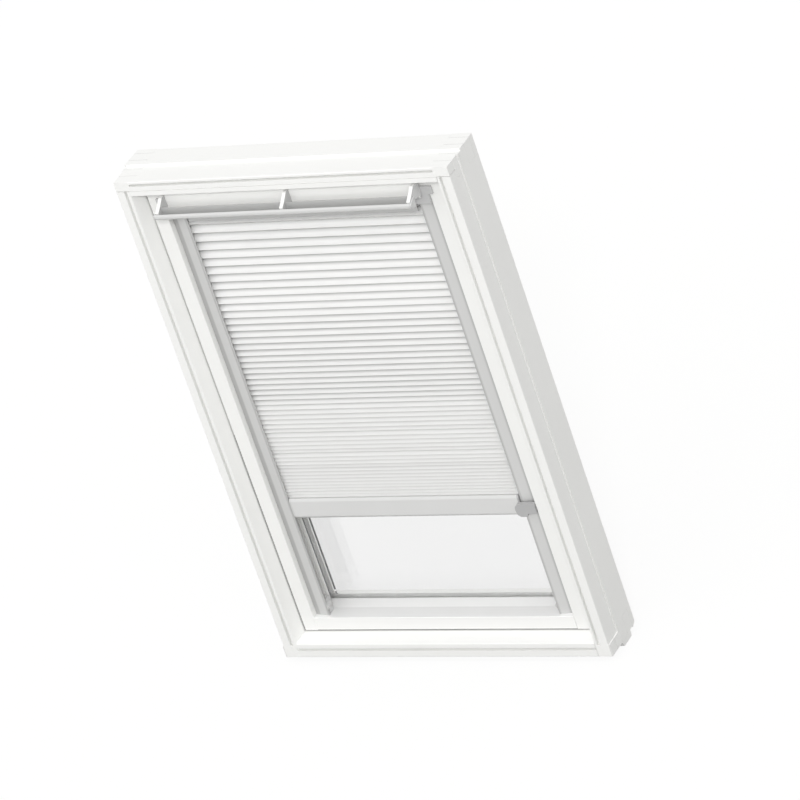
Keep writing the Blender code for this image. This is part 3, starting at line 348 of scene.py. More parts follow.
def channel_aluminium_painted_light_and_shade(name, colour, roughness):
    """Satin-coated channel: a pale face, painted shade on its rounded edges, and painted light inside, matt
    white.
    """
    material, tree, shader = new_material(name, colour, Roughness=roughness)
    at = axes(tree)
    away = add(tree, "ShaderNodeMath", {0: at["X"]}, operation="ABSOLUTE")
    away = add(tree, "ShaderNodeMath", {0: away, 1: CHANNEL_MIDDLE * MM}, operation="SUBTRACT")
    away = add(tree, "ShaderNodeMath", {0: away}, operation="ABSOLUTE")
    # Painted shade on the rounded edges of the face
    edge = add(tree, "ShaderNodeMapRange", {
        "Value": away, "From Min": EDGE_START * MM, "From Max": EDGE_END * MM},
        interpolation_type="SMOOTHSTEP")
    forwards = add(tree, "ShaderNodeMath", {0: axes(tree, "Normal")["Y"]}, operation="ABSOLUTE")
    edge = add(tree, "ShaderNodeMath", {0: edge, 1: forwards}, operation="MULTIPLY")
    # Painted light: the inside, where shade falls, is painted matt white
    painted_light_inside = add(tree, "ShaderNodeMath", {0: at["Y"], 1: (FRONT_Y + INSIDE_PAINTED_LIGHT_DEPTH) * MM}, operation="GREATER_THAN")
    paint(tree, shader, colour, (edge, shade(colour, EDGE_PAINTED_SHADE)), (painted_light_inside, linear(INSIDE_PAINTED_LIGHT)))
    metal = add(tree, "ShaderNodeMath", {0: painted_light_inside, 1: -COATED_METAL, 2: COATED_METAL},
                operation="MULTIPLY_ADD")
    tree.links.new(metal.outputs[0], shader.inputs["Metallic"])
    die_lines(tree, shader, "Z", roughness)
    return material


def moulded_plastic(name, colour, roughness, grit):
    """Injection-moulded plastic: even colour with a fine spark-eroded grain that breaks the gloss."""
    material, tree, shader = new_material(name, colour, Roughness=roughness, IOR=1.53)
    spot = place(tree)
    grain = add(tree, "ShaderNodeTexNoise", {"Vector": spot, "Scale": 1 / (grit * MM), "Detail": 2.0})
    # The melt's flow leaves faint clouds about 40 mm wide
    cloud = add(tree, "ShaderNodeTexNoise", {"Vector": spot, "Scale": 1 / (40 * MM), "Detail": 2.0})
    paint(tree, shader, colour, (cloud, shade(colour, 0.96)))
    surface(tree, shader, (grain, 0.00003), gloss=(cloud, roughness - 0.04, roughness + 0.05))
    return material


def gusset_plastic_painted_shade(name, front, sides, outer):
    """Moulded white plastic, with painted shade: white edges, sides painted grey, the outermost side a
    lighter grey.
    """
    material, tree, shader = new_material(name, front, Roughness=0.42, IOR=1.53)
    across = add(tree, "ShaderNodeMath", {0: axes(tree)["X"]}, operation="ABSOLUTE")
    outermost = add(tree, "ShaderNodeMath", {0: across, 1: GUSSET_OUTER * MM}, operation="GREATER_THAN")
    # Painted shade on the sides, lighter on the outermost one
    broad = add(tree, "ShaderNodeMath", {0: axes(tree, "Normal")["X"]}, operation="ABSOLUTE")
    narrow = add(tree, "ShaderNodeMath", {0: 1.0, 1: broad}, operation="SUBTRACT")
    paint(tree, shader, sides, (outermost, outer), (narrow, front))
    # The spark-eroded grain is 0.5 mm wide
    grain = add(tree, "ShaderNodeTexNoise", {"Vector": place(tree), "Scale": 1 / (0.5 * MM), "Detail": 2.0})
    surface(tree, shader, (grain, 0.00003))
    return material


def seal_rubber(name, colour):
    """Extruded rubber or poured sealant: dull and even, with a slight pale bloom."""
    material, tree, shader = new_material(name, colour, Roughness=0.7, IOR=1.5)
    bloom = add(tree, "ShaderNodeTexNoise", {"Vector": place(tree), "Scale": 1 / (12 * MM), "Detail": 4.0})
    paint(tree, shader, colour, (bloom, [part + 0.02 for part in colour]))
    surface(tree, shader, (bloom, 0.00002))
    return material


def glazing_rubber_painted_light_and_shade(name, face, lip):
    """Dull rubber: faces to front and back painted pale as painted light, edgewise faces painted dark as
    painted shade.
    """
    material, tree, shader = new_material(name, face, Roughness=0.65, IOR=1.5)
    # Painted shade on faces turned edgewise, painted light on the rest
    forwards = add(tree, "ShaderNodeMath", {0: axes(tree, "Normal")["Y"]}, operation="ABSOLUTE")
    painted_shade_edgewise = add(tree, "ShaderNodeMath", {0: forwards, 1: HALF_TURNED}, operation="LESS_THAN")
    paint(tree, shader, face, (painted_shade_edgewise, lip))
    bloom = add(tree, "ShaderNodeTexNoise", {"Vector": place(tree), "Scale": 1 / (12 * MM), "Detail": 4.0})
    surface(tree, shader, (bloom, 0.00002), gloss=(bloom, 0.6, 0.7))
    return material


def rolled_spacer(name, colour):
    """Roll-formed aluminium strip: bright metal where it faces up or down, coated matt white elsewhere."""
    material, tree, shader = new_material(name, colour, Roughness=0.25)
    level = add(tree, "ShaderNodeMath", {0: axes(tree, "Normal")["Z"]}, operation="ABSOLUTE")
    bare = add(tree, "ShaderNodeMath", {0: level, 1: HALF_TURNED}, operation="GREATER_THAN")
    tree.links.new(bare.outputs[0], shader.inputs["Metallic"])
    # Rolling leaves faint bands about 3 mm wide
    bands = add(tree, "ShaderNodeTexNoise", {"Vector": place(tree), "Scale": 1 / (3 * MM), "Detail": 2.0})
    paint(tree, shader, colour, (bands, shade(colour, 0.97)))
    surface(tree, shader, gloss=(bands, 0.2, 0.32))
    return material


def zinc_plate(name, colour):
    """Bright zinc plate over pressed steel: cool grey metal with small crystals of differing gloss."""
    material, tree, shader = new_material(name, colour, Metallic=1.0, Roughness=0.35)
    crystals = add(tree, "ShaderNodeTexVoronoi", {"Vector": place(tree), "Scale": 1 / (2.5 * MM)})
    paint(tree, shader, colour, (crystals, shade(colour, 0.88)))
    surface(tree, shader, (crystals, 0.00001), gloss=(crystals, 0.28, 0.42))
    return material


def float_glass(name, colour):
    """Clear float glass: a faint grey tint, mirror-smooth, with very long soft waves."""
    material, tree, shader = new_material(name, colour, Roughness=0.0, IOR=1.52, Transmission_Weight=1.0)
    waves = add(tree, "ShaderNodeTexNoise", {"Vector": place(tree), "Scale": 1 / (250 * MM), "Detail": 0.0})
    surface(tree, shader, (waves, 0.00002))
    return material


def filter_foam(name, colour):
    """Open-cell polyurethane foam: dark, matt, full of pores about 1 mm wide."""
    material, tree, shader = new_material(name, colour, Roughness=0.95)
    pores = add(tree, "ShaderNodeTexVoronoi", {"Vector": place(tree), "Scale": 1 / (1.1 * MM)})
    paint(tree, shader, colour, (pores, shade(colour, 1.6)))
    surface(tree, shader, (pores, 0.0004))
    return material


def braided_cord(name, colour):
    """Braided polyester cord: off-white, with the strands' diagonal turns every 1.2 mm."""
    material, tree, shader = new_material(name, colour, Roughness=0.75, Sheen_Weight=0.2)
    along = add(tree, "ShaderNodeUVMap", uv_map="along")
    turned = add(tree, "ShaderNodeMapping", {"Vector": along, "Scale": (2.0, 1 / (1.2 * MM), 1.0)})
    strands = add(tree, "ShaderNodeTexWave", {"Vector": turned, "Scale": 1.0, "Distortion": 0.0},
                  bands_direction="DIAGONAL").outputs["Fac"]
    paint(tree, shader, colour, (strands, shade(colour, 0.75)))
    surface(tree, shader, (strands, 0.00008))
    return material


def pleated_weave(name, colour, painted_fold_shade):
    """White polyester, woven and heat-pleated: soft, matt, and glowing a little where light is behind."""
    material, tree, shader = new_material(
        name, colour, Roughness=0.85, Sheen_Weight=0.15, Sheen_Roughness=0.4,
        Subsurface_Weight=0.25, Subsurface_Radius=(1.0, 1.0, 1.0), Subsurface_Scale=0.004)
    # Threads lie 0.45 mm apart; drawn at 0.9 mm so that a close render shows them
    cloth = add(tree, "ShaderNodeUVMap", uv_map="cloth")
    scaled = add(tree, "ShaderNodeMapping", {"Vector": cloth, "Scale": [1 / (0.9 * MM)] * 3})
    warp, weft = (add(tree, "ShaderNodeTexWave", {"Vector": scaled, "Scale": 0.31}, bands_direction=way)
                  for way in "XY")
    threads = {0: warp.outputs["Fac"], 1: weft.outputs["Fac"]}
    weave = add(tree, "ShaderNodeMath", threads, operation="MULTIPLY")
    slubs = add(tree, "ShaderNodeTexNoise", {"Vector": scaled, "Scale": 0.02, "Detail": 3.0})
    # Painted shade: the cloth is painted greyer towards the bottom of its folds, less so where they lie
    # close together
    fold = add(tree, "ShaderNodeUVMap", uv_map="fold")
    fold = add(tree, "ShaderNodeSeparateXYZ", {0: fold}).outputs
    deep = add(tree, "ShaderNodeMapRange", {
        "Value": fold["X"], "From Min": SHADE_START, "From Max": SHADE_END},
        interpolation_type="SMOOTHSTEP")
    wide = add(tree, "ShaderNodeMapRange", {
        "Value": fold["Y"], "From Min": CLOSE_PITCH * MM, "From Max": OPEN_PITCH * MM})
    grey = add(tree, "ShaderNodeMath", {0: deep, 1: wide}, operation="MULTIPLY")
    paint(tree, shader, colour, (slubs, shade(colour, 0.985)), (grey, shade(colour, 1 - painted_fold_shade)))
    surface(tree, shader, (weave, 0.00004))
    return material


def seen_rays(tree):
    """One for rays from the camera, off gloss and through glass, and nought for light between surfaces."""
    rays = add(tree, "ShaderNodeLightPath").outputs
    seen = rays["Is Camera Ray"]
    for kind in ("Is Glossy Ray", "Is Transmission Ray"):
        seen = add(tree, "ShaderNodeMath", {0: seen, 1: rays[kind]}, operation="MAXIMUM")
    return seen


def studio_white(name, camera_white, bounce):
    """Matt studio floor: white to the eye and to glass and gloss, while its diffuse share keeps the shadow.

    It throws back no more light than its bounce colour does.
    """
    material = bpy.data.materials.new(name)
    tree = empty_tree(material)
    seen = seen_rays(tree)
    share = add(tree, "ShaderNodeMath", {0: seen, 1: camera_white}, operation="MULTIPLY")
    white = (*linear(FLOOR_WHITE), 1.0)
    colour = add(tree, "ShaderNodeMix", {0: seen, 6: (*bounce, 1.0), 7: white}, data_type="RGBA")
    matt = add(tree, "ShaderNodeBsdfDiffuse", {"Color": colour.outputs[2], "Roughness": 0.6})
    glow = add(tree, "ShaderNodeEmission", {"Color": (1, 1, 1, 1), "Strength": 1.0})
    both = add(tree, "ShaderNodeMixShader", {0: share, 1: matt, 2: glow})
    add(tree, "ShaderNodeOutputMaterial", {"Surface": both})
    return material


def dress(material, *names):
    """Gives CAD nodes their finish."""
    for name in names:
        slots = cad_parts[name].material_slots
        if not slots:
            raise RuntimeError("%s has no material slot" % name)
        for slot in slots:
            slot.material = material


def object_from(name, form, material, body=None):
    """Turns a bmesh into a finished piece at the origin."""
    mesh = bpy.data.meshes.new(name)
    form.to_mesh(mesh)
    form.free()
    piece = bpy.data.objects.new(name, mesh)
    bpy.context.scene.collection.objects.link(piece)
    mesh.materials.append(material)
    if body:
        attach(piece, body)
    return piece


def pitch_series():
    """The first leaf's height, and the share by which each next one is lower."""
    shrink = PITCH_RATIO ** (-1 / LEAVES)
    return (CLOTH_TOP - CLOTH_BOTTOM) * (1 - shrink) / (1 - shrink ** LEAVES), shrink


def fold_heights():
    """Heights of the folds in world millimetres, from the head down; the weight opens the upper ones."""
    first, shrink = pitch_series()
    return [SILL_Z + CLOTH_TOP - first * (1 - shrink ** fold) / (1 - shrink) for fold in range(LEAVES + 1)]


def leaf_rows(heights, leaf, steps, bow):
    """Points (y, z) down one leaf, from its upper fold to its lower one, bowed a little by the press."""
    high, low = heights[leaf], heights[leaf + 1]
    middle = FRONT_Y + CLOTH_MIDDLE
    reach = math.sqrt(LEAF ** 2 - (high - low) ** 2) / 2
    towards = -1 if leaf % 2 == 0 else 1
    start, end = middle - towards * reach, middle + towards * reach
    rows = []
    for step in range(steps + 1):
        part = step / steps
        lift = bow / 2 * math.sin(2 * math.pi * part)
        rows.append((start + (end - start) * part, high + (low - high) * part + lift))
    return rows


def smooth_part(share):
    """The place in a smooth step at which it has risen by share."""
    return 0.5 - math.sin(math.asin(1 - 2 * share) / 3)


def section_ends(heights, widest):
    """Cuts the cloth at its folds, so that within each section the bar's travel spreads almost evenly."""
    top, bottom = heights[0], heights[-1]
    # A smooth step is flat at its ends, so the outermost folds count as a little within it
    low_limit, high_limit = 0.01, 0.99
    shares = [min(max((top - z) / (top - bottom), low_limit), high_limit) for z in heights]
    sections, first = [], 0
    while first < LEAVES:
        last = first + 1
        start = smooth_part(shares[first])
        while last < LEAVES:
            end = smooth_part(shares[last + 1])
            if end / start > widest or (1 - start) / (1 - end) > widest:
                break
            last += 1
        sections.append((first, last, start, smooth_part(shares[last])))
        first = last
    return sections


class FinishSettings(bpy.types.PropertyGroup):
    """Colours of the finishes."""

    lacquer: FloatVectorProperty(name="Lacquer", description="Sprayed lacquer on frame, sash and flap",
                                 subtype="COLOR", size=3, default=linear("#F7F7F5"))
    # Painted light on the sash bottom's faces that look up
    bead: FloatVectorProperty(name="Sill lacquer", description="Thicker lacquer on the sash's lower bead",
                              subtype="COLOR", size=3, default=linear("#FDFDFC"))
    plastic: FloatVectorProperty(name="White plastic", description="Gusset brackets and cloth clamp",
                                 subtype="COLOR", size=3, default=linear("#F4F4F2"))
    # Painted shade on the gusset brackets' sides
    gusset: FloatVectorProperty(name="Gusset sides", description="Broad sides of the gusset brackets",
                                subtype="COLOR", size=3, default=linear("#BABABA"))
    # Painted shade on the flap's ends, lighter painted shade on the outermost gusset sides, and the caps'
    # own grey
    ends: FloatVectorProperty(name="Grey ends", description="Ends of the flap, the bar and its gussets",
                              subtype="COLOR", size=3, default=linear("#D4D4D4"))
    rail: FloatVectorProperty(name="Blind aluminium", description="Bottom bar",
                              subtype="COLOR", size=3, default=linear("#DFDFDE"))
    # Darker than the bottom bar's aluminium: painted shade under the control bar
    casing: FloatVectorProperty(name="Casing aluminium", description="Head casing under the control bar",
                                subtype="COLOR", size=3, default=linear("#CCCCCB"))
    # Mid grey: painted shade for the grip's gutter
    grip: FloatVectorProperty(name="Control bar aluminium", description="Grip profile of the flap",
                              subtype="COLOR", size=3, default=linear("#C9C9C8"))
    # Painted light on the grip's front lip
    grip_lip_painted_light: FloatVectorProperty(name="Control bar lip", description="Front lip of the grip profile",
                                  subtype="COLOR", size=3, default=linear("#DBDBDA"))
    channel: FloatVectorProperty(name="Channel grey", description="Side channels and their feet",
                                 subtype="COLOR", size=3, default=linear("#D5D5D4"))
    bracket: FloatVectorProperty(name="Bracket grey", description="Head brackets",
                                 subtype="COLOR", size=3, default=linear("#CACACA"))
    fitting: FloatVectorProperty(name="Grey plastic", description="Drive housing",
                                 subtype="COLOR", size=3, default=linear("#B6B6B6"))
    cloth: FloatVectorProperty(name="Cloth", description="Pleated cloth",
                               subtype="COLOR", size=3, default=linear("#FDFDFC"))
    glass: FloatVectorProperty(name="Glass", description="Tint of the panes",
                               subtype="COLOR", size=3, default=linear("#FAFAFA"))
    joint_line: FloatProperty(name="Glue line", description="Width of the comb joints' glue lines",
                              unit="LENGTH", default=0.0012, min=0.0, max=0.005)


class ClothSettings(bpy.types.PropertyGroup):
    """Make of the pleated cloth."""

    thickness: FloatProperty(name="Thickness", description="Thickness of the cloth", unit="LENGTH",
                             default=0.0004, min=0.0001, max=0.001)
    bow: FloatProperty(name="Bow", description="How far each leaf bows between its folds, in millimetres",
                       default=0.35, min=0.0, max=2.0)
    steps: IntProperty(name="Steps", description="Rows of faces down one leaf", default=6, min=1, max=16)
    # Painted shade deep in the folds
    painted_fold_shade: FloatProperty(name="Crease", description="How much greyer the cloth is deep in its folds",
                          default=0.4, min=0.0, max=1.0)
    widest: FloatProperty(name="Section spread", description="How unevenly one section may stretch",
                          default=1.25, min=1.01, max=3.0)


class StripSettings(bpy.types.PropertyGroup):
    """Grey strips beside the glass spacer: a painted reflection of the shaded channel."""

    inset: FloatProperty(name="Inset", description="From the spacer's outer edge to the strip",
                         unit="LENGTH", default=0.0104)
    width: FloatProperty(name="Width", description="Width of the strip", unit="LENGTH", default=0.0046)
    thickness: FloatProperty(name="Thickness", description="Thickness of the strip", unit="LENGTH",
                             default=0.0005)
    edge: FloatProperty(name="Edge seal", description="Width of the seal outside the spacer", unit="LENGTH",
                        default=0.011)


class StageSettings(bpy.types.PropertyGroup):
    """Studio round the window."""

    floor_size: FloatProperty(name="Floor size", description="Edge of the square floor", unit="LENGTH",
                              default=16.0)
    floor_white: FloatProperty(name="Floor glow", description="Share of plain white in the floor as seen",
                               default=0.9, min=0.0, max=1.0)
    floor_bounce: FloatVectorProperty(name="Floor bounce", description="Colour of the light it returns",
                                      subtype="COLOR", size=3, default=linear("#9A9A98"))
    ambient: FloatProperty(name="Ambient", description="Mean light from all round", default=0.85)
    slant: FloatProperty(name="Slant", description="How much more of it comes from the front", default=0.39)
    key: FloatProperty(name="Key", description="Lamp above the viewer", default=1.0)


def settings(context):
    """All settings of the scene's roof window."""
    return getattr(context.scene, PREFIX)


class LacqueredMembers(bpy.types.Operator):
    """Lacquers the frame, the sash and the ventilation flap, with the grain along each board"""

    bl_idname = PREFIX + ".lacquered_members"
    bl_label = "Lacquered members"

    def execute(self, context):
        finish = settings(context).finish
        for name, axis, pair in (("upright", "Z", ("left", "right")), ("level", "X", ("top", "bottom"))):
            frame_wood = lacquered_pine("Satin lacquer on jointed pine, %s grain" % name, finish, axis,
                                        jointed=True)
            sash_wood = lacquered_pine("Satin lacquer on pine, %s grain" % name, finish, axis)
            for member in pair:
                dress(frame_wood, "frame_" + member)
                dress(sash_wood, "sash_" + member)
        # A real second clear coat, with painted light on the faces that look up
        coated = lacquered_pine("Satin lacquer on pine, second clear coat and painted light", finish, "X", coat=1.0)
        dress(coated, "sash_bottom")
        # The flap's grey ends are painted shade
        painted_shade_on_ends = lacquered_pine("Satin lacquer on pine, painted shade on the ends", finish, "X", ends=finish.ends)
        dress(painted_shade_on_ends, "vent_flap")
        return {"FINISHED"}


class Glazing(bpy.types.Operator):
    """Finishes the panes, their spacer, the inner gasket, the outer caps and the frame's seals"""

    bl_idname = PREFIX + ".glazing"
    bl_label = "Glazing and seals"

    def execute(self, context):
        finish = settings(context).finish
        dress(float_glass("Clear float glass", finish.glass), "inner_pane", "outer_pane")
        dress(rolled_spacer("Roll-formed aluminium spacer", linear("#F8F8F6")), "glass_spacer")
        dress(extruded_aluminium("Anodised aluminium glazing cap", linear("#C4C5C6"), 0.42),
              "glazing_cap_top", "glazing_cap_bottom", "glazing_cap_left", "glazing_cap_right")
        rubber = seal_rubber("Extruded EPDM rubber", linear("#2B2B2C"))
        dress(rubber, "frame_seal_upper", "frame_seal_lower")
        # Gasket with painted light on its face and painted shade edgewise
        gasket_painted_light_and_shade = glazing_rubber_painted_light_and_shade("Glazing rubber with painted light and shade", linear("#F2F2F0"), linear("#9A9A9A"))
        dress(gasket_painted_light_and_shade, "glazing_gasket")
        make = settings(context).strip
        # Grey strips: painted reflection of the shaded channel at the glass's left and right edges
        self.sealant(seal_rubber("Grey strips of painted reflection", linear("#9C9C9C")), make)
        self.edge_seal(seal_rubber("Pale silicone edge seal", linear("#FAFAF8")), make)
        return {"FINISHED"}

    def edge_seal(self, material, make):
        """Seal between the panes, round the outside of the spacer."""
        low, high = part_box("glass_spacer")
        form = bmesh.new()
        rings = []
        for out in (0.0, make.edge):
            corners = [form.verts.new((x, low.y, z)) for x, z in (
                (low.x - out, low.z - out), (high.x + out, low.z - out),
                (high.x + out, high.z + out), (low.x - out, high.z + out))]
            rings += [form.edges.new((corners[i - 1], corners[i])) for i in range(4)]
        bmesh.ops.bridge_loops(form, edges=rings)
        made = bmesh.ops.extrude_face_region(form, geom=list(form.faces))["geom"]
        bmesh.ops.translate(form, vec=(0, high.y - low.y, 0),
                            verts=[item for item in made if isinstance(item, bmesh.types.BMVert)])
        bmesh.ops.recalc_face_normals(form, faces=form.faces)
        if not all(edge.is_manifold for edge in form.edges):
            raise RuntimeError("the edge seal isn't closed")
        object_from("edge_seal", form, material, "sash")

    def sealant(self, material, make):
        """Grey strips on the outer pane's inner face beside the spacer, at the left and right: painted
        reflection.
        """
        spacer_low, spacer_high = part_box("glass_spacer")
        back = spacer_high.y - SEALANT_GAP * MM
        for side, outer in (("left", spacer_low.x), ("right", spacer_high.x)):
            towards = 1 if side == "left" else -1
            start = outer + towards * make.inset
            xs = sorted((start, start + towards * make.width))
            low = Vector((xs[0], back - make.thickness, spacer_low.z + make.inset))
            high = Vector((xs[1], back, spacer_high.z - make.inset))
            form = bmesh.new()
            bmesh.ops.create_cube(form, size=1.0)
            bmesh.ops.scale(form, vec=high - low, verts=form.verts)
            bmesh.ops.translate(form, vec=(low + high) / 2, verts=form.verts)
            object_from("sealant_" + side, form, material, "sash")


class ControlBar(bpy.types.Operator):
    """Finishes the control bar, its end caps and the gusset brackets"""

    bl_idname = PREFIX + ".control_bar"
    bl_label = "Control bar and brackets"

    def execute(self, context):
        finish = settings(context).finish
        grip = grip_aluminium_painted_light("Anodised aluminium grip with painted light and shade", finish.grip, finish.grip_lip_painted_light, 0.36)
        dress(grip, "control_bar")
        dress(moulded_plastic("Moulded grey ABS caps", finish.ends, 0.45, 0.5),
              "control_bar_cap_left", "control_bar_cap_right")
        # The gussets' grey sides are painted shade
        dress(gusset_plastic_painted_shade("Moulded white ABS gussets with painted shade", finish.plastic, finish.gusset, finish.ends),
              "bar_bracket_left", "bar_bracket_middle", "bar_bracket_right")
        return {"FINISHED"}


class Fittings(bpy.types.Operator):
    """Finishes the lock, the pivots and the flap's hinges"""

    bl_idname = PREFIX + ".fittings"
    bl_label = "Steel fittings"

    def execute(self, context):
        steel = zinc_plate("Bright zinc-plated steel", linear("#B7BABD"))
        dress(steel, "lock_striker", "lock_case", "lock_bolt")
        for side in ("left", "right"):
            dress(steel, "pivot_housing_" + side, "pivot_pin_" + side)
            dress(steel, "flap_hinge_" + side, "flap_pin_" + side)
        return {"FINISHED"}


class BlindRails(bpy.types.Operator):
    """Finishes the head casing, its brackets, the side channels and their feet"""

    bl_idname = PREFIX + ".blind_rails"
    bl_label = "Blind rails"

    def execute(self, context):
        finish = settings(context).finish
        # The casing's darker grey is painted shade from the control bar
        dress(extruded_aluminium("Satin anodised aluminium casing, darker as painted shade", finish.casing, 0.45), "head_casing")
        # Side channels with painted shade on their edges and painted light inside
        dress(channel_aluminium_painted_light_and_shade("Grey anodised aluminium channel, painted light and shade", finish.channel, 0.5),
              "side_channel_left", "side_channel_right")
        dress(moulded_plastic("Moulded channel-grey ABS", finish.channel, 0.5, 0.5),
              "channel_foot_left", "channel_foot_right", "bar_end_left")
        dress(moulded_plastic("Moulded mid-grey ABS", finish.bracket, 0.5, 0.6),
              "head_bracket_left", "head_bracket_right")
        dress(moulded_plastic("Moulded white ABS", finish.plastic, 0.42, 0.5), "cloth_clamp")
        return {"FINISHED"}


class BottomBar(bpy.types.Operator):
    """Finishes the bottom bar with its drive: housing, runners, motor, shaft and drums"""

    bl_idname = PREFIX + ".bottom_bar"
    bl_label = "Bottom bar and drive"

    def execute(self, context):
        finish = settings(context).finish
        dress(extruded_aluminium("Satin anodised aluminium bar", finish.rail, 0.45), "bottom_bar")
        dress(moulded_plastic("Moulded dark-grey ABS", finish.fitting, 0.5, 0.6), "drive_housing")
        dress(moulded_plastic("Moulded grey acetal", linear("#8F9092"), 0.38, 0.4),
              "runner_left", "runner_right", "cord_drum_left", "cord_drum_right")
        dress(zinc_plate("Bright steel drive", linear("#AFB2B5")), "drive_motor", "drive_shaft")
        return {"FINISHED"}


class PleatedCloth(bpy.types.Operator):
    """Makes the pleated cloth in sections, cut where the bar's travel spreads almost evenly within each"""

    bl_idname = PREFIX + ".pleated_cloth"
    bl_label = "Pleated cloth"

    def execute(self, context):
        make = settings(context).cloth
        colour = settings(context).finish.cloth
        material = pleated_weave("Woven polyester, heat-pleated, painted shade in the folds", colour, make.painted_fold_shade)
        low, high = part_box("pleated_cloth")
        half = high.x - CLOTH_GAP * MM
        heights = fold_heights()
        if abs(heights[-1] * MM - low.z) > FOLD_SLIP * MM:
            raise RuntimeError("the folds don't end where the CAD cloth ends")
        sections = section_ends(heights, make.widest)
        for number, (first, last, start, end) in enumerate(sections):
            rows = []
            for leaf in range(first, last):
                points = leaf_rows(heights, leaf, make.steps, make.bow)
                rows += points if not rows else points[1:]
            form = cloth_form(rows, half, make.thickness)
            piece = object_from("cloth_section_%02d" % (number + 1), form, material)
            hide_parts("pleated_cloth")
            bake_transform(piece)
        return {"FINISHED"}


def cloth_form(rows, half, thickness):
    """A row of vertices across the cloth, extruded down every leaf and given its thickness."""
    form = bmesh.new()
    uv = form.loops.layers.uv.new("cloth")
    ends = [form.verts.new((x, rows[0][0] * MM, rows[0][1] * MM)) for x in (-half, half)]
    edge = form.edges.new(ends)
    bmesh.ops.subdivide_edges(form, edges=[edge], cuts=CLOTH_CUTS)
    edges = list(form.edges)
    # Each row of corners is known by its height, to a tenth of a micrometre
    lengths = {round(vert.co.z, 7): 0.0 for vert in form.verts}
    run, before = 0.0, rows[0]
    for y, z in rows[1:]:
        made = bmesh.ops.extrude_edge_only(form, edges=edges)["geom"]
        verts = [item for item in made if isinstance(item, bmesh.types.BMVert)]
        bmesh.ops.translate(form, verts=verts, vec=(0, (y - before[0]) * MM, (z - before[1]) * MM))
        edges = [item for item in made if isinstance(item, bmesh.types.BMEdge)
                 and all(vert in verts for vert in item.verts)]
        run += math.hypot(y - before[0], z - before[1]) * MM
        lengths[round(verts[0].co.z, 7)] = run
        before = (y, z)
    for face in form.faces:
        for loop in face.loops:
            loop[uv].uv = (loop.vert.co.x, lengths[round(loop.vert.co.z, 7)])
        face.smooth = False
    bmesh.ops.recalc_face_normals(form, faces=form.faces)
    bmesh.ops.solidify(form, geom=list(form.faces), thickness=thickness)
    bmesh.ops.recalc_face_normals(form, faces=form.faces)
    note_folds(form)
    return form


def note_folds(form):
    """Keeps two things at each corner in the map "fold": its share of the depth that is lit, and the pitch.

    The lit depth is where light down LIGHT_SLOPE past one fold reaches the next leaf.
    """
    layer = form.loops.layers.uv.new("fold")
    first, shrink = pitch_series()
    for face in form.faces:
        outwards = -1 if face.normal.y < 0 else 1
        for loop in face.loops:
            corner = loop.vert.co / MM
            pitch = first - (SILL_Z + CLOTH_TOP - corner.z) * (1 - shrink)
            reach = math.sqrt(LEAF ** 2 - pitch ** 2) / 2
            depth = reach - outwards * (corner.y - FRONT_Y - CLOTH_MIDDLE)
            lit = 2 * pitch / (LIGHT_SLOPE + pitch / (2 * reach))
            loop[layer].uv = (depth / lit, pitch * MM)


class TensionCords(bpy.types.Operator):
    """Makes the two braided cords that the drums climb"""

    bl_idname = PREFIX + ".tension_cords"
    bl_label = "Tension cords"

    def execute(self, context):
        material = braided_cord("Braided polyester cord", linear("#E6E5DF"))
        for side in ("left", "right"):
            node = "tension_cord_" + side
            low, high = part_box(node)
            middle = (low + high) / 2
            radius = (high.x - low.x) / 2
            form = bmesh.new()
            uv = form.loops.layers.uv.new("along")
            bmesh.ops.create_cone(form, cap_ends=True, segments=CORD_SIDES, radius1=radius,
                                  radius2=radius, depth=high.z - low.z, matrix=Matrix.Translation(middle))
            for face in form.faces:
                face.smooth = len(face.verts) == 4
                for loop in face.loops:
                    angle = math.atan2(loop.vert.co.y - middle.y, loop.vert.co.x - middle.x)
                    loop[uv].uv = (angle / (2 * math.pi), loop.vert.co.z)
            piece = object_from("braided_cord_" + side, form, material, "sash")
            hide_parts(node)
        return {"FINISHED"}


class AirFilters(bpy.types.Operator):
    """Makes the foam filters with soft edges"""

    bl_idname = PREFIX + ".air_filters"
    bl_label = "Air filters"

    def execute(self, context):
        material = filter_foam("Open-cell polyurethane foam", linear("#4B4D50"))
        for side in ("left", "right"):
            node = "air_filter_" + side
            low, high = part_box(node)
            form = bmesh.new()
            bmesh.ops.create_cube(form, size=1.0)
            bmesh.ops.scale(form, vec=high - low, verts=form.verts)
            bmesh.ops.translate(form, vec=(low + high) / 2, verts=form.verts)
            bmesh.ops.bevel(form, geom=list(form.edges), offset=FOAM_EDGE * MM, segments=3, profile=0.5,
                            affect="EDGES", material=-1)
            for face in form.faces:
                face.smooth = True
            piece = object_from("foam_filter_" + side, form, material, "sash")
            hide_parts(node)
        return {"FINISHED"}


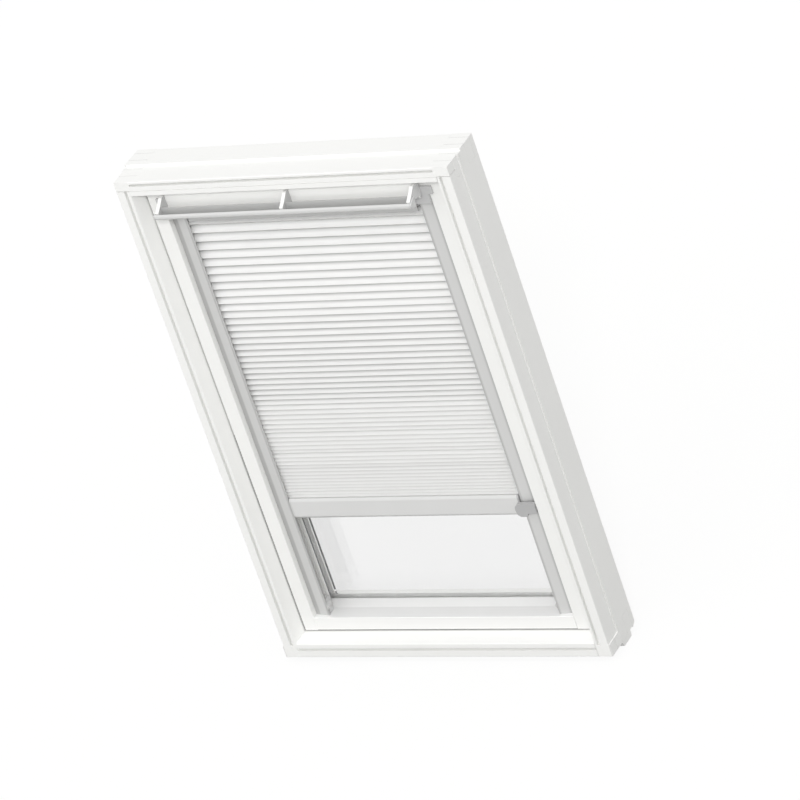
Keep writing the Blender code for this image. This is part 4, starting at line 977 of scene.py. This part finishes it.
class Stage(bpy.types.Operator):
    """Sets the camera, the white surroundings, the floor and the key lamp"""

    bl_idname = PREFIX + ".stage"
    bl_label = "Stage"

    def execute(self, context):
        make = settings(context).stage
        scene = context.scene
        camera = bpy.data.objects.new("camera", bpy.data.cameras.new("camera"))
        scene.collection.objects.link(camera)
        right = Vector(CAMERA_RIGHT)
        back = right.cross(Vector(CAMERA_UP)).normalized()
        up = back.cross(right).normalized()
        right.normalize()
        turn = Matrix((right, up, back)).transposed().to_4x4()
        camera.matrix_world = Matrix.Translation(CAMERA_PLACE) @ turn
        camera.data.sensor_width = 36.0
        camera.data.lens = CAMERA_LENS
        camera.data.clip_end = 100.0
        scene.camera = camera
        scene.view_settings.view_transform = "Standard"
        self.surroundings(scene, make)
        self.floor(scene, make)
        self.key_lamp(scene, make)
        return {"FINISHED"}

    def surroundings(self, scene, make):
        """White to the camera, to gloss and through glass; other rays find more light towards the front."""
        scene.world = bpy.data.worlds.new("studio")
        tree = empty_tree(scene.world)
        way = add(tree, "ShaderNodeTexCoord").outputs["Generated"]
        facing = add(tree, "ShaderNodeVectorMath", {0: way, 1: BRIGHT_SIDE}, operation="DOT_PRODUCT")
        level = add(tree, "ShaderNodeMath", {
            0: facing.outputs["Value"], 1: make.slant, 2: make.ambient}, operation="MULTIPLY_ADD")
        strength = add(tree, "ShaderNodeMix", {0: seen_rays(tree), 2: level, 3: 1.0}, data_type="FLOAT")
        light = add(tree, "ShaderNodeBackground", {"Color": (1, 1, 1, 1), "Strength": strength})
        add(tree, "ShaderNodeOutputWorld", {"Surface": light})

    def floor(self, scene, make):
        """Square floor, a millimetre below the window."""
        form = bmesh.new()
        bmesh.ops.create_grid(form, x_segments=1, y_segments=1, size=make.floor_size / 2)
        bmesh.ops.translate(form, verts=form.verts, vec=(0, 0, -MM))
        mesh = bpy.data.meshes.new("floor")
        form.to_mesh(mesh)
        form.free()
        floor = bpy.data.objects.new("floor", mesh)
        scene.collection.objects.link(floor)
        mesh.materials.append(studio_white("Matt white studio floor", make.floor_white, make.floor_bounce))

    def key_lamp(self, scene, make):
        """One lamp a little above the viewer, so that few shadows are seen."""
        light = bpy.data.lights.new("key", "SUN")
        light.energy = make.key
        light.angle = math.radians(KEY_SPREAD)
        lamp = bpy.data.objects.new("key", light)
        scene.collection.objects.link(lamp)
        towards = Vector(KEY_SIDE)
        lamp.location = 5 * towards
        lamp.rotation_euler = towards.to_track_quat("Z", "Y").to_euler()


class RoofWindowSettings(bpy.types.PropertyGroup):
    """All settings of the roof window."""

    finish: PointerProperty(type=FinishSettings)
    strip: PointerProperty(type=StripSettings)
    cloth: PointerProperty(type=ClothSettings)
    stage: PointerProperty(type=StageSettings)


class RoofWindowPanel(bpy.types.Panel):
    """Lists the settings and the steps in the sidebar"""

    bl_idname = "VIEW3D_PT_" + PREFIX
    bl_label = "Roof window"
    bl_space_type = "VIEW_3D"
    bl_region_type = "UI"
    bl_category = "Roof Window"

    def draw(self, context):
        values = settings(context)
        for group in (values.finish, values.strip, values.cloth, values.stage):
            box = self.layout.box()
            for name in group.__annotations__:
                box.prop(group, name)
        for operator in OPERATORS:
            self.layout.operator(operator.bl_idname)


OPERATORS = (LacqueredMembers, Glazing, ControlBar, Fittings, BlindRails, BottomBar, PleatedCloth,
             TensionCords, AirFilters, Stage)
CLASSES = (FinishSettings, StripSettings, ClothSettings, StageSettings, RoofWindowSettings, *OPERATORS,
           RoofWindowPanel)


def register():
    for item in CLASSES:
        bpy.utils.register_class(item)
    setattr(bpy.types.Scene, PREFIX, PointerProperty(type=RoofWindowSettings))


def unregister():
    delattr(bpy.types.Scene, PREFIX)
    for item in reversed(CLASSES):
        bpy.utils.unregister_class(item)


def main():
    """Runs every step in order."""
    register()
    bpy.ops.roof_window.lacquered_members()
    bpy.ops.roof_window.glazing()
    bpy.ops.roof_window.control_bar()
    bpy.ops.roof_window.fittings()
    bpy.ops.roof_window.blind_rails()
    bpy.ops.roof_window.bottom_bar()
    bpy.ops.roof_window.pleated_cloth()
    bpy.ops.roof_window.tension_cords()
    bpy.ops.roof_window.air_filters()
    bpy.ops.roof_window.stage()
    bpy.context.view_layer.update()


if __name__ == "__main__":
    main()
